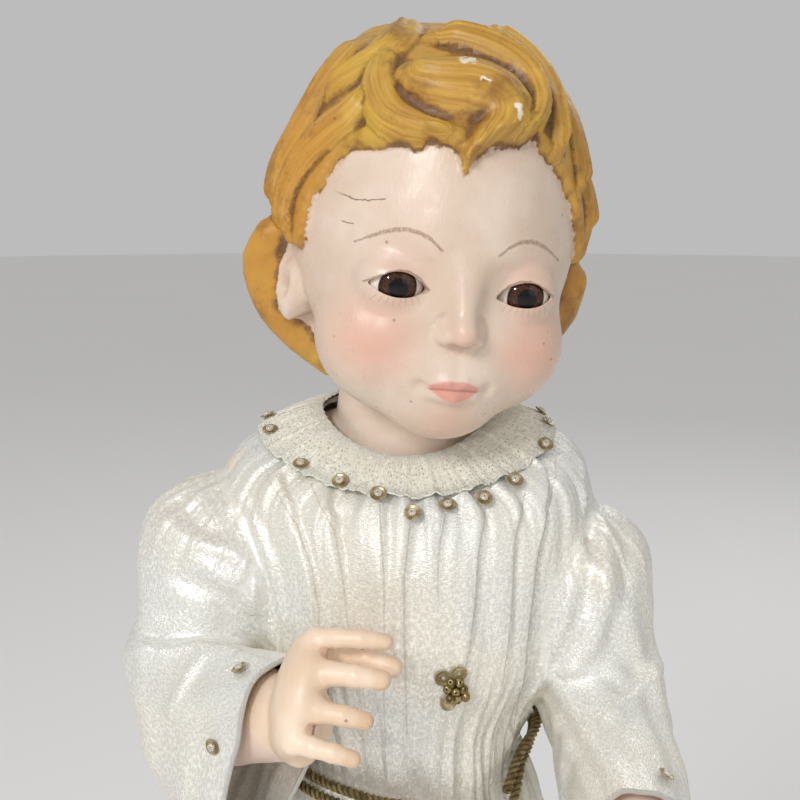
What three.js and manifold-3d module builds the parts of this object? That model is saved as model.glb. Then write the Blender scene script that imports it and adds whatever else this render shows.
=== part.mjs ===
// A dressed devotional figure of a standing child: a carved and painted wooden figure with glass eyes,
// in a satin gown with a lace collar, sewn sequins and a knotted gilt cord, on a low turned base.
// Millimetres, +Z up. The figure faces -Y and its left is +X. The origin is the centre of the underside.

import * as THREE from "three";
import { mergeVertices } from "three/addons/utils/BufferGeometryUtils.js";
import Module from "manifold-3d";

const wasm = await Module();
wasm.setup();

// Driving dimensions
const BODY_HEIGHT = 321; // from the soles to the level of the chin
const HEAD_HEIGHT = 88; // from the chin to the top of the hair
const HAND_WIDTH = 26; // across the four knuckles
const EYE_RADIUS = 6.7;
const BASE_RADIUS = 80;
const BASE_HEIGHT = 24;
const HEM_WIDTH = 148;
const HEM_DEPTH = 128;
const HEM_CLEARANCE = 15; // from the top of the base up to the hem
const CLOTH = 1.6; // satin and lining together
const EASE = 3.2; // how far the bodice stands off the chest
const LACE = 1.2; // how thick the lace collar is
const GAP = 0.3; // between two pieces that touch
const SLIVER = 0.22; // detail smaller than this is smoothed away after a join
const OVERRUN = 4; // how far a cutter runs on past an open end
const SEQUIN_RADIUS = 2.1;
const SEQUIN_HEIGHT = 1.5; // the disc with its bead
const CORD_DIAMETER = 2.4;
const CORD_ENDS = 66; // how far the two ends hang below the knot
const FOLDS = 8; // round the skirt

const SOLES = BASE_HEIGHT + GAP;
const EYE_SIDES = 8;
const BODY = BODY_HEIGHT / 100;
const HEAD = HEAD_HEIGHT / 100;
const HAND = HAND_WIDTH / 100;
const DEGREE = Math.PI / 180;

// Closed meshes and their joins

// A closed mesh without seams as a solid, turned right side out.
function solidOf(geometry) {
  const points = geometry.getAttribute("position").array;
  const index = new Uint32Array(geometry.index.array);
  const made = new wasm.Manifold(
    new wasm.Mesh({ numProp: 3, vertProperties: points, triVerts: index }),
  );
  if (made.volume() > 0) return made;
  for (let i = 0; i < index.length; i += 3) [index[i + 1], index[i + 2]] = [index[i + 2], index[i + 1]];
  return new wasm.Manifold(new wasm.Mesh({ numProp: 3, vertProperties: points, triVerts: index }));
}

// A geometry with its seams closed, so that only positions and faces are left.
function seamless(geometry) {
  geometry.deleteAttribute("normal");
  geometry.deleteAttribute("uv");
  return mergeVertices(geometry, 1e-5);
}

function joined(solids) {
  return solids.reduce((all, solid) => all.add(solid));
}

function meshOf(name, solid, material) {
  const made = solid.getMesh();
  const points = new Float32Array(made.numVert * 3);
  for (let i = 0; i < made.numVert; i++) {
    points.set(made.vertProperties.subarray(i * made.numProp, i * made.numProp + 3), i * 3);
  }
  const geometry = new THREE.BufferGeometry();
  geometry.setAttribute("position", new THREE.BufferAttribute(points, 3));
  geometry.setIndex(new THREE.BufferAttribute(made.triVerts, 1));
  geometry.computeVertexNormals();
  const mesh = new THREE.Mesh(geometry, material);
  mesh.name = name;
  return mesh;
}

// A closed tube: place(angle, along, out) puts each point, with along from 0 to 1 and out 1 on the wall.
function loft(sides, rows, place) {
  const geometry = seamless(new THREE.CylinderGeometry(1, 1, 1, sides, rows));
  const position = geometry.getAttribute("position");
  for (let i = 0; i < position.count; i++) {
    const [x, y, z] = [position.getX(i), position.getY(i), position.getZ(i)];
    const point = place(Math.atan2(z, x), 0.5 - y, Math.hypot(x, z));
    position.setXYZ(i, point.x, point.y, point.z);
  }
  return solidOf(geometry);
}

// A round tube along a curve, with its own half-width at each share of the length.
function limb(points, sides, rows, radiusAt) {
  const curve = new THREE.CatmullRomCurve3(points);
  const frames = curve.computeFrenetFrames(rows, false);
  return loft(sides, rows, (angle, along, out) => {
    const row = Math.round(along * rows);
    const radius = radiusAt(along) * out;
    return curve
      .getPointAt(along)
      .addScaledVector(frames.normals[row], radius * Math.cos(angle))
      .addScaledVector(frames.binormals[row], radius * Math.sin(angle));
  });
}

function ball(centre, radii, sides = 10) {
  const geometry = seamless(new THREE.SphereGeometry(1, sides, Math.round(sides * 0.7)));
  geometry.scale(...radii);
  geometry.translate(...centre);
  return solidOf(geometry);
}

// Everything below a level, as a block to cut away.
function blockBelow(level, reach) {
  const geometry = seamless(new THREE.BoxGeometry(2 * reach, 2 * reach, reach));
  geometry.translate(0, 0, level - reach / 2);
  return solidOf(geometry);
}

// Small mathematics

const clamp = (x, low, high) => Math.min(high, Math.max(low, x));

function smoothstep(low, high, x) {
  const t = clamp((x - low) / (high - low), 0, 1);
  return t * t * (3 - 2 * t);
}

// The value at x of a smooth curve through [x, value] pairs, which holds its ends beyond them.
function through(pairs, x) {
  const last = pairs.length - 1;
  const i = clamp(pairs.findIndex((pair) => pair[0] > x) - 1, 0, last - 1);
  const from = x >= pairs[last][0] ? last - 1 : i;
  const [[x0, y0], [x1, y1]] = [pairs[from], pairs[from + 1]];
  return y0 + (y1 - y0) * smoothstep(x0, x1, x);
}

function smoothUnion(a, b, reach) {
  const h = Math.max(reach - Math.abs(a - b), 0) / reach;
  return Math.min(a, b) - (h * h * reach) / 4;
}

function smoothCut(a, b, reach) {
  return -smoothUnion(-a, b, reach);
}

// About how far a point is outside an ellipsoid.
function toEllipsoid([x, y, z], [cx, cy, cz], [rx, ry, rz]) {
  const near = Math.hypot((x - cx) / rx, (y - cy) / ry, (z - cz) / rz);
  const slope = Math.hypot((x - cx) / rx ** 2, (y - cy) / ry ** 2, (z - cz) / rz ** 2);
  return slope > 0 ? (near * (near - 1)) / slope : -Math.min(rx, ry, rz);
}

// How far a point is outside a rod that tapers from one ball to another.
function toRod([x, y, z], [ax, ay, az], [bx, by, bz], radiusA, radiusB) {
  const [dx, dy, dz] = [bx - ax, by - ay, bz - az];
  const share = clamp(
    ((x - ax) * dx + (y - ay) * dy + (z - az) * dz) / (dx * dx + dy * dy + dz * dz),
    0,
    1,
  );
  const away = Math.hypot(x - ax - share * dx, y - ay - share * dy, z - az - share * dz);
  return away - radiusA - (radiusB - radiusA) * share;
}

// The head, in percent of its height, from the middle between chin and crown, facing -Y

const EYE = { side: 15, front: -29.8, level: -13, lid: 1.1 };
const EYE_SHARE = EYE_RADIUS / HEAD;
const HAIR_THICKNESS = 2.2;

// The height in degrees of the hair's edge at each angle from the front: nape, temples and forelock.
const HAIRLINE = [
  [-180, -48],
  [-128, -46],
  [-104, -32],
  [-88, -14],
  [-70, -16],
  [-65, -8],
  [-60, 8],
  [-52, 22],
  [-20, 25],
  [-11, 26],
  [-5, 17],
  [0, 24],
  [14, 28],
  [24, 31],
  [34, 25],
  [44, 18],
  [54, 4],
  [66, -12],
  [88, -14],
  [104, -32],
  [128, -46],
  [180, -48],
];

// Carved locks: a path of [angle from the front, height] in degrees, from root to tip, seen from the
// middle of the head, the half-width in degrees and the relief in percent of the head's height.
const FRONT_LOCKS = [
  { path: [[-38, 48], [-18, 46], [-3, 46], [9, 42], [10, 34], [3, 27], [-5, 17]], width: 11, relief: 4.6 },
  {
    path: [[-34, 67], [-12, 66], [11, 63], [26, 56], [28, 47], [23, 38], [15, 31], [7, 28]],
    width: 6,
    relief: 4.8,
  },
  { path: [[-54, 60], [-47, 46], [-36, 35], [-23, 30], [-9, 29]], width: 7.5, relief: 3.2 },
  { path: [[60, 82], [60, 66], [50, 52], [40, 40], [34, 27]], width: 9, relief: 3.6 },
  { path: [[110, 66], [84, 50], [66, 34], [54, 16]], width: 10, relief: 3.4 },
  { path: [[120, 46], [98, 34], [80, 18], [70, 0]], width: 10, relief: 3.4 },
  { path: [[-90, 76], [-58, 60], [-68, 51], [-80, 40]], width: 9, relief: 3.0 },
  { path: [[-50, 46], [-53, 35], [-64, 28], [-74, 18], [-78, 2], [-74, -12]], width: 8.5, relief: 3.4 },
  { path: [[-116, 62], [-96, 46], [-92, 28], [-96, 12], [-88, -4]], width: 10, relief: 3.4 },
];

// Curls beside the ears, as rods through [x, y, z, radius] in percent of the head's height.
const CURLS = [
  [[-38, 3, -9, 4.8], [-39.5, 5, -16, 5.4], [-36, 6, -26, 4.8], [-29, 5, -33, 4.6], [-20.5, 3, -39, 4]],
  [[39, 6, 2, 6], [39.5, 7, -5, 5]],
  [[39, 5, -14, 6], [38, 6, -23, 5.4], [30, 5, -33, 4.5], [20.5, 3, -39, 4]],
];

// Waves down the back of the head, side by side.
const BACK_LOCKS = [...Array(5).keys()].map((i) => {
  const angle = 130 + 25 * i;
  const sway = i % 2 ? 8 : -8;
  return {
    path: [[angle, 74], [angle + sway, 48], [angle - sway, 20], [angle + sway, -6], [angle, -34]],
    width: 14,
    relief: 3.4,
  };
});

// The direction from the middle of the head at an angle from the front and a height, in degrees.
function direction(angle, height) {
  const [a, h] = [angle * DEGREE, height * DEGREE];
  return new THREE.Vector3(Math.cos(h) * Math.sin(a), -Math.cos(h) * Math.cos(a), Math.sin(h));
}

const LOCK_STEPS = 12;
const LOCKS = [...FRONT_LOCKS, ...BACK_LOCKS].map(({ path, width, relief }) => {
  const curve = new THREE.CatmullRomCurve3(path.map(([angle, height]) => direction(angle, height)));
  const line = curve.getPoints(LOCK_STEPS).map((point) => point.normalize());
  return { line, width: width * DEGREE, relief };
});

// How far one lock stands up in a direction: round across, and narrow at its root and tip.
function lockRelief(lock, towards) {
  let best = 0;
  for (let i = 0; i < LOCK_STEPS; i++) {
    const step = lock.line[i + 1].clone().sub(lock.line[i]);
    const off = towards.clone().sub(lock.line[i]);
    const share = clamp(off.dot(step) / step.lengthSq(), 0, 1);
    const along = (i + share) / LOCK_STEPS;
    const width = lock.width * (0.35 + 0.65 * Math.sin(Math.PI * along ** 0.8));
    const across = off.addScaledVector(step, -share).length() / width;
    best = Math.max(best, lock.relief * (1 - across * across));
  }
  return best;
}

// How far above the hair's edge a direction is, in degrees.
function aboveHairline(towards) {
  const angle = Math.atan2(towards.x, -towards.y) / DEGREE;
  return Math.asin(clamp(towards.z, -1, 1)) / DEGREE - through(HAIRLINE, angle);
}

function hairHeight(towards) {
  const cover = smoothstep(0, 4, aboveHairline(towards));
  return cover * (HAIR_THICKNESS + Math.max(...LOCKS.map((lock) => lockRelief(lock, towards))));
}

// About how far a point is outside the carved face and skull.
function toFace(p) {
  const m = [Math.abs(p[0]), p[1], p[2]];
  const { side, front, level, lid } = EYE;
  let d = smoothUnion(toEllipsoid(p, [0, 4, 7], [32, 42.5, 37]), toEllipsoid(p, [0, 3, -1], [36, 40, 26]), 6);
  d = smoothUnion(d, toEllipsoid(p, [0, -9, -15], [30, 29.5, 28]), 10);
  d = smoothUnion(d, toEllipsoid(p, [0, -16, -32], [25.5, 20, 16]), 8);
  d = smoothUnion(d, toEllipsoid(m, [14.5, -24, -27], [14.5, 12, 12.5]), 8);
  d = smoothUnion(d, toEllipsoid(p, [0, -29.5, -42], [10.5, 7, 7]), 8);
  d = smoothUnion(d, toEllipsoid(p, [0, -32, -33], [11.5, 8.2, 8]), 6);
  d = smoothCut(d, toEllipsoid(m, [side + 0.5, -43, level + 1], [10, 5.5, 6.5]), 5);
  d = smoothUnion(d, toEllipsoid(m, [side, front, level], Array(3).fill(EYE_SHARE + lid)), 1.5);
  d = smoothUnion(d, toRod(p, [0, -37.5, -8], [0, -41.5, -20.5], 2, 2.6), 5);
  d = smoothUnion(d, toEllipsoid(p, [0, -42.4, -22], [3, 3, 2.8]), 2);
  d = smoothUnion(d, toEllipsoid(m, [3.5, -39.8, -23.2], [2.1, 2.7, 2]), 2);
  d = smoothUnion(d, toRod(m, [0, -40, -32.8], [6.4, -38, -34.6], 1.5, 0.8), 1.2);
  d = smoothUnion(d, toRod(m, [0, -39.6, -37], [4.2, -38.6, -36.8], 2, 1.2), 1.2);
  d = smoothCut(d, toRod(m, [0, -42.2, -35], [7, -39.2, -35.2], 0.5, 0.4), 1);
  return d;
}

// The whole head: the skull raised by the hair, with the ears and the curls behind them.
function toHead(p, hair) {
  const ear = toEllipsoid([Math.abs(p[0]), p[1], p[2]], [32.5, -1, -21], [4, 5, 8]);
  let d = smoothUnion(toFace(p) - hair, ear, 3);
  for (const curl of CURLS) {
    for (let i = 1; i < curl.length; i++) {
      d = smoothUnion(d, toRod(p, curl[i - 1], curl[i], curl[i - 1][3], curl[i][3]), 1.5);
    }
  }
  return d;
}

// How far out the head's surface lies in a direction from its middle.
function headRadius(towards) {
  const hair = hairHeight(towards);
  let reach = 75;
  for (let step = 0; step < 60; step++) {
    const off = toHead([towards.x * reach, towards.y * reach, towards.z * reach], hair);
    if (Math.abs(off) < 0.02) break;
    reach -= 0.85 * off;
  }
  return reach;
}

// The head stands on the neck, bowed and turned to the figure's left.
const HEAD_PLACE = new THREE.Matrix4()
  .makeTranslation(1.6 * BODY, -1.4 * BODY, SOLES + BODY_HEIGHT + 50 * HEAD)
  .multiply(new THREE.Matrix4().makeRotationZ(13 * DEGREE))
  .multiply(new THREE.Matrix4().makeRotationY(6 * DEGREE))
  .multiply(new THREE.Matrix4().makeRotationX(4 * DEGREE))
  .scale(new THREE.Vector3(HEAD, HEAD, HEAD));

// The head is a ball of directions, closer together over the face, moved out to the carved surface.
function headSolid() {
  const geometry = seamless(new THREE.IcosahedronGeometry(1, 8));
  const position = geometry.getAttribute("position");
  const front = new THREE.Vector3(0, -0.34, -0.06);
  for (let i = 0; i < position.count; i++) {
    const towards = new THREE.Vector3().fromBufferAttribute(position, i).add(front).normalize();
    towards.multiplyScalar(headRadius(towards)).applyMatrix4(HEAD_PLACE);
    position.setXYZ(i, towards.x, towards.y, towards.z);
  }
  return solidOf(geometry);
}

// The middle of the eyeball on the figure's right (-1) or left (1).
function eyeCentre(side) {
  return new THREE.Vector3(side * EYE.side, EYE.front, EYE.level).applyMatrix4(HEAD_PLACE);
}

// The lids part in an almond: the cutter opens the lid in front of the eyeball.
function lidOpening(side) {
  const geometry = seamless(new THREE.SphereGeometry(1, 10, 6));
  geometry.scale(EYE_SHARE * 0.84, EYE_SHARE * 0.9, EYE_SHARE * 0.42);
  geometry.translate(side * EYE.side, EYE.front - EYE_SHARE * 0.7, EYE.level);
  geometry.applyMatrix4(HEAD_PLACE);
  return solidOf(geometry);
}

// The body, in percent of its height, as rings from the throat down

// Each ring: height above the soles, half-width, half-depth, middle in Y, how far the front hangs down
// below the sides, and how far the back stands above them.
const ring = (height, wide, deep, middle = 0, drop = 0, rise = 0) => {
  return { height, wide, deep, middle, drop, rise };
};

const NECK = ring(99.4, 5.3, 5.4, 0.6, 2.4, 0.6);
const NECKLINE = ring(98.9, 7.0, 6.2, 0.5, 2.8, 0.5);
const COLLAR_EDGE = ring(98.0, 8.9, 7.2, 0.3, 3.2, 0.3);
const SHOULDERS = ring(96.5, 11.2, 7.8, 0, 2.6, 0);
const ARMPITS = ring(94.0, 12.0, 8.0, 0, 1.2, 0);
const CHEST = ring(89.6, 11.0, 8.0);
const RIBS = ring(82.8, 9.4, 7.4);
const WAIST = ring(75.6, 7.2, 6.4);
const TORSO = [
  ring(106, 4.9, 5.0, 0.9),
  NECK,
  COLLAR_EDGE,
  SHOULDERS,
  ARMPITS,
  CHEST,
  RIBS,
  WAIST,
  ring(68.5, 8.6, 7.6),
  ring(60, 9.4, 7.8),
  ring(52, 8.8, 7.0),
].map((r) => placed(r));

// A ring in millimetres, let out all round and raised.
function placed(r, out = 0, up = 0) {
  return {
    height: SOLES + r.height * BODY + up,
    wide: r.wide * BODY + out,
    deep: r.deep * BODY + out,
    middle: r.middle * BODY,
    drop: r.drop * BODY,
    rise: r.rise * BODY,
  };
}

// The ring at a share of the way down a list, with smooth changes between them.
function ringAt(rings, share) {
  const at = clamp(share, 0, 1) * (rings.length - 1);
  const i = Math.min(Math.floor(at), rings.length - 2);
  const t = at - i;
  const blend = (key) => {
    const four = [i - 1, i, i + 1, i + 2].map((k) => rings[clamp(k, 0, rings.length - 1)][key]);
    const [a, b, c, d] = four;
    return b + 0.5 * t * (c - a + t * (2 * a - 5 * b + 4 * c - d + t * (3 * (b - c) + d - a)));
  };
  return Object.fromEntries(Object.keys(rings[0]).map((key) => [key, blend(key)]));
}

// A point of a ring: out 1 is on it, and lift moves it outwards.
function ringPoint(r, angle, out = 1, lift = 0) {
  const [c, s] = [Math.cos(angle), Math.sin(angle)];
  const hang = s < 0 ? -r.drop * (-s) ** 1.5 : r.rise * s ** 1.5;
  return new THREE.Vector3(
    (r.wide + lift) * c * out,
    r.middle + (r.deep + lift) * s * out,
    r.height + hang * out,
  );
}

function torsoSolid() {
  return loft(12, TORSO.length - 1, (angle, along, out) => ringPoint(ringAt(TORSO, along), angle, out));
}

// A point of the body in millimetres, from percent of its height.
const bodyPoint = (x, y, z) => new THREE.Vector3(x * BODY, y * BODY, SOLES + z * BODY);

// Joints of the two arms, the figure's right one first, and how far past the wrist each cuff reaches, as a
// share of the forearm.
const ARMS = [
  { shoulder: [-10.0, 0.3, 94.8], elbow: [-17.8, -2.2, 79.8], wrist: [-7.4, -12.4, 83.0], cuff: -0.05 },
  { shoulder: [9.2, 0.3, 93.4], elbow: [14.6, -1.0, 79.2], wrist: [14.4, -16.2, 75.4], cuff: -0.12 },
].map((arm) => ({
  ...arm,
  shoulder: bodyPoint(...arm.shoulder),
  elbow: bodyPoint(...arm.elbow),
  wrist: bodyPoint(...arm.wrist),
}));

// A smooth line down an arm, on past the wrist by a share of the forearm.
function armLine(arm, past = 0) {
  const bend = 0.26;
  return [
    arm.shoulder.clone(),
    arm.shoulder.clone().lerp(arm.elbow, 0.5),
    arm.elbow.clone().lerp(arm.shoulder, bend),
    arm.elbow.clone().lerp(arm.wrist, bend),
    arm.elbow.clone().lerp(arm.wrist, 0.6),
    arm.elbow.clone().lerp(arm.wrist, 1 + past),
  ];
}

function armSolid(arm) {
  return limb(armLine(arm), 8, 6, (along) => BODY * through([[0, 3.2], [0.5, 3.0], [1, 2.1]], along));
}

function legSolids(side) {
  const leg = [[4.6, 0.4, 58], [4.9, 0.2, 38], [5.1, -0.2, 28], [5.2, 0.8, 16], [5.2, 1.2, 2.5]];
  const foot = [[5.1, 3.0, 2.4], [5.3, -1.5, 3.2], [6.0, -7.0, 2.2], [6.6, -12.5, 1.3]];
  const at = (points) => points.map(([x, y, z]) => bodyPoint(side * x, y, z));
  return [
    limb(at(leg), 6, 6, (t) => BODY * through([[0, 4.6], [0.4, 3.5], [0.6, 3.6], [1, 2.4]], t)),
    limb(at(foot), 8, 5, (t) => BODY * through([[0, 1.6], [0.2, 2.7], [0.75, 2.9], [1, 1.6]], t)),
  ];
}

// The hands, in percent of their width: x from the wrist along the palm, y out of the palm, z to the thumb

// Fingers from the first to the little one: height in the hand, length, radius, and how far they curl.
const FINGERS = [
  { level: 48, length: 54, radius: 8.8, curl: 0 },
  { level: 20, length: 58, radius: 10.4, curl: -4 },
  { level: -9, length: 50, radius: 9.4, curl: 2 },
  { level: -36, length: 46, radius: 8.6, curl: 6 },
];
const PALM = { start: 58, centre: [36, 0, 4], half: [42, 24, 50] };
const HEEL = { centre: [14, 14, -26], half: [20, 18, 20] };

function fingerPoints({ level, length, curl }, bend) {
  const points = [new THREE.Vector3(PALM.start, 2, level * 0.94)];
  const joints = 3;
  for (let joint = 0; joint < joints; joint++) {
    const turn = (bend.first + bend.more * joint + curl) * DEGREE;
    const step = length / joints;
    const last = points[points.length - 1];
    const fan = 0.06 * level * bend.fan;
    points.push(last.clone().add(new THREE.Vector3(step * Math.cos(turn), step * Math.sin(turn), fan)));
  }
  return points;
}

// A hand with its palm, four fingers and thumb, placed by a matrix that takes the hand's axes to the part's.
function handSolids(place, bend) {
  const put = (points) => points.map((point) => point.applyMatrix4(place));
  const tip = (t) => (t > 0.95 ? 0.7 : 1 - 0.14 * t);
  const pad = ({ centre, half }, sides) => {
    const geometry = new THREE.SphereGeometry(1, sides, Math.round(sides * 0.7));
    geometry.scale(...half).translate(...centre).applyMatrix4(place);
    return solidOf(seamless(geometry));
  };
  const fingers = FINGERS.map((finger) =>
    limb(put(fingerPoints(finger, bend)), 6, 4, (t) => HAND * finger.radius * tip(t)),
  );
  const thumb = bend.thumb.map((point) => new THREE.Vector3(...point));
  return [...fingers, limb(put(thumb), 6, 4, (t) => HAND * 10 * tip(t)), pad(PALM, 9), pad(HEEL, 6)];
}

// A placing matrix from the wrist, the way the palm leaves it and the way the thumb side faces.
function handPlace(wrist, ahead, thumbSide, mirrored) {
  const x = new THREE.Vector3(...ahead).normalize();
  const z = new THREE.Vector3(...thumbSide);
  z.addScaledVector(x, -z.dot(x)).normalize();
  const y = new THREE.Vector3().crossVectors(z, x).multiplyScalar(mirrored ? -1 : 1);
  const place = new THREE.Matrix4().makeBasis(x, y, z).scale(new THREE.Vector3(HAND, HAND, HAND));
  return place.setPosition(wrist);
}

const HANDS = [
  {
    place: handPlace(ARMS[0].wrist, [0.2, -0.85, 0.49], [0.2, 0.45, 0.87], false),
    bend: { first: 52, more: 16, fan: 0.6, thumb: [[16, 8, 30], [34, 22, 42], [48, 44, 42], [52, 64, 38]] },
  },
  {
    place: handPlace(ARMS[1].wrist, [-0.1, -1, 0.06], [1, -0.1, 0.25], true),
    bend: { first: 8, more: 16, fan: 1, thumb: [[16, 8, 34], [34, 16, 50], [58, 26, 54], [80, 32, 46]] },
  },
];

function figureSolid() {
  const parts = [
    headSolid(),
    torsoSolid(),
    ...ARMS.map(armSolid),
    ...HANDS.flatMap(({ place, bend }) => handSolids(place, bend)),
    ...legSolids(-1),
    ...legSolids(1),
  ];
  let figure = joined(parts).subtract(blockBelow(SOLES, BASE_RADIUS));
  for (const side of [-1, 1]) {
    const socket = ball(eyeCentre(side).toArray(), Array(3).fill(EYE_RADIUS + GAP), EYE_SIDES);
    figure = figure.subtract(socket).subtract(lidOpening(side));
  }
  return figure.simplify(SLIVER);
}

// The gown: a gathered body and two wide sleeves

const HEM = {
  height: BASE_HEIGHT + HEM_CLEARANCE,
  wide: HEM_WIDTH / 2,
  deep: HEM_DEPTH / 2,
  middle: 0,
  drop: 0,
  rise: 0,
};
const GOWN_WAIST = placed(WAIST, CLOTH + 0.6 * EASE);
const SKIRT_ROWS = 5;

// The skirt springs out from the waist and then falls more steeply.
const SKIRT = [...Array(SKIRT_ROWS).keys()].map((i) => {
  const down = ((i + 1) / SKIRT_ROWS) ** 1.15;
  const spring = down ** 0.74;
  const mix = (key, share) => GOWN_WAIST[key] + (HEM[key] - GOWN_WAIST[key]) * share;
  return { ...HEM, height: mix("height", down), wide: mix("wide", spring), deep: mix("deep", spring) };
});

const GOWN = [
  placed(NECKLINE, GAP, CLOTH + 2 * GAP),
  placed(COLLAR_EDGE, CLOTH, CLOTH + 0.3 * EASE),
  placed(SHOULDERS, CLOTH + 0.4 * EASE, CLOTH + 0.2 * EASE),
  placed(ARMPITS, CLOTH + 0.7 * EASE, 0.3 * EASE),
  placed(CHEST, CLOTH + 1.15 * EASE),
  placed(RIBS, CLOTH + 1.2 * EASE),
  GOWN_WAIST,
  ...SKIRT,
];
const WAIST_SHARE = GOWN.indexOf(GOWN_WAIST) / (GOWN.length - 1);

const FOLD_DEPTHS = [[0, 0], [0.25, 0.3], [WAIST_SHARE, 0.4], [WAIST_SHARE + 0.12, 1.6], [1, 4.6]];

// How far the cloth stands out of its ring: small gathers on the bodice, deep folds at the hem.
function foldHeight(angle, along) {
  const depth = through(FOLD_DEPTHS, along);
  const sway = 0.25 * Math.sin(3 * angle + 1);
  return depth * Math.cos(FOLDS * (angle + 0.08 * sway) + 0.6);
}

// A point of the gown's body, lifted off it by so much where the cloth hangs and where it lies.
function gownPoint(angle, along, lift = 0, out = 1) {
  const point = ringPoint(ringAt(GOWN, along), angle, out, lift + foldHeight(angle, along));
  point.z += lift * through([[0, 0.9], [0.3, 0]], along);
  return point;
}

function gownBody(lift, overrun) {
  return loft(4 * FOLDS, GOWN.length - 1, (angle, along, out) => {
    const point = gownPoint(angle, along, lift, out);
    if (along < 0.001) point.z += overrun;
    if (along > 0.999) point.z -= overrun;
    return point;
  });
}

// A sleeve's half-width and how far it hangs below the arm, in percent of the body's height, and how much
// deeper it hangs than it stands up.
const SLEEVE_WIDTH = [[0, 4.0], [0.22, 6.4], [0.5, 4.6], [0.75, 4.1], [1, 3.8]];
const SLEEVE_DROP = [[0, 0], [0.5, 0.4], [1, 0.8]];
const SLEEVE_DEEP = [[0, 1], [0.5, 1.25], [1, 2.8]];
const CUFF_SLANT = { over: 0.1, under: 0.5 };
const SLEEVE_ROWS = 7;
const SLEEVE_STEPS = 4 * SLEEVE_ROWS;

const SLEEVES = ARMS.map((arm) => {
  const curve = new THREE.CatmullRomCurve3(armLine(arm, arm.cuff));
  return { curve, frames: curve.computeFrenetFrames(SLEEVE_STEPS, false) };
});

// A point of a sleeve, lifted off it by so much.
function sleevePoint({ curve, frames }, angle, along, lift = 0, out = 1) {
  const step = Math.round(clamp(along, 0, 1) * SLEEVE_STEPS);
  const crease = 0.35 * Math.sin(2 * angle + 9 * along) * smoothstep(0.1, 0.4, along);
  const width = BODY * (through(SLEEVE_WIDTH, along) + crease) + lift;
  const off = frames.normals[step].clone().multiplyScalar(Math.cos(angle));
  off.addScaledVector(frames.binormals[step], Math.sin(angle)).multiplyScalar(out * width);
  if (off.z < 0) off.z *= through(SLEEVE_DEEP, along);
  const slant = off.z > 0 ? CUFF_SLANT.over : CUFF_SLANT.under;
  const point = curve.getPointAt(clamp(along, 0, 1)).add(off);
  point.z -= BODY * through(SLEEVE_DROP, along);
  return point.addScaledVector(frames.tangents[step], slant * smoothstep(0.5, 1, along) * off.z);
}

function sleeveSolid(sleeve, lift, overrun) {
  return loft(12, SLEEVE_ROWS, (angle, along, out) => {
    const point = sleevePoint(sleeve, angle, along, lift, out);
    return along > 0.999 ? point.addScaledVector(sleeve.frames.tangents[SLEEVE_STEPS], overrun) : point;
  });
}

function gownSolid() {
  const shell = (lift, overrun) =>
    joined([gownBody(lift, overrun), ...SLEEVES.map((sleeve) => sleeveSolid(sleeve, lift, overrun))]);
  return shell(0, 0).subtract(shell(-CLOTH, OVERRUN));
}

// The lace collar: a band from the neck out over the gown's edge

const OVER_GOWN = 0.6; // how far the lace lies above the satin
const raised = (r, out, up) => ({ ...r, wide: r.wide + out, deep: r.deep + out, height: r.height + up });
const COLLAR = [
  placed(NECK, 2, CLOTH),
  raised(GOWN[0], 0, GAP + OVER_GOWN),
  raised(GOWN[1], OVER_GOWN, GAP + OVER_GOWN),
  raised(ringAt([GOWN[1], GOWN[2]], 0.3), 2 * OVER_GOWN, GAP + 1.5 * OVER_GOWN),
];

function collarSolid() {
  const across = COLLAR.length; // rings under the lace, and as many over it
  const sides = 24;
  const geometry = seamless(new THREE.TorusGeometry(2, 1, 2 * across, sides));
  const position = geometry.getAttribute("position");
  for (let i = 0; i < position.count; i++) {
    const [x, y, z] = [position.getX(i), position.getY(i), position.getZ(i)];
    const turn = Math.atan2(z, Math.hypot(x, y) - 2) / (2 * Math.PI);
    const corner = Math.round((turn < 0 ? turn + 1 : turn) * 2 * across) % (2 * across);
    const under = corner < across;
    const rim = under ? corner : 2 * across - 1 - corner;
    const point = ringPoint(COLLAR[rim], Math.atan2(y, x), 1);
    position.setXYZ(i, point.x, point.y, point.z + (under ? 0 : LACE));
  }
  return solidOf(geometry);
}

// The cord: twice round the waist, knotted at the front, with two hanging ends

const CORD_LIFT = CORD_DIAMETER / 2 + GAP + 0.9;
const KNOT_ANGLE = -58 * DEGREE;
const KNOT_HALF = { wide: 2.1 * CORD_DIAMETER, deep: 1.1 * CORD_DIAMETER };

// How far the cord lies above the waist, in millimetres, at each angle round it.
const CORD_SAG = [
  [-180, 1],
  [-135, -2.4],
  [-82, -4.8],
  [-58, -9.8],
  [-42, -8.2],
  [-22, 0.4],
  [0, 3],
  [90, 3.6],
  [180, 1],
];

// The gown's ring at a height, between the rings above and below it.
function gownRing(height) {
  const i = clamp(GOWN.findIndex((r) => r.height < height), 1, GOWN.length - 1);
  const [above, below] = [GOWN[i - 1], GOWN[i]];
  const share = (above.height - height) / (above.height - below.height);
  const at = (key) => above[key] + share * (below[key] - above[key]);
  return { ...GOWN_WAIST, height, wide: at("wide"), deep: at("deep") };
}

// A point of the cord's line round the waist, at an angle, lifted off the gown and raised.
function roundWaist(angle, up, lift = CORD_LIFT) {
  const turned = Math.atan2(Math.sin(angle), Math.cos(angle)) / DEGREE;
  const height = GOWN_WAIST.height + through(CORD_SAG, turned) + up;
  return ringPoint(gownRing(height), angle, 1, lift);
}

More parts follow.
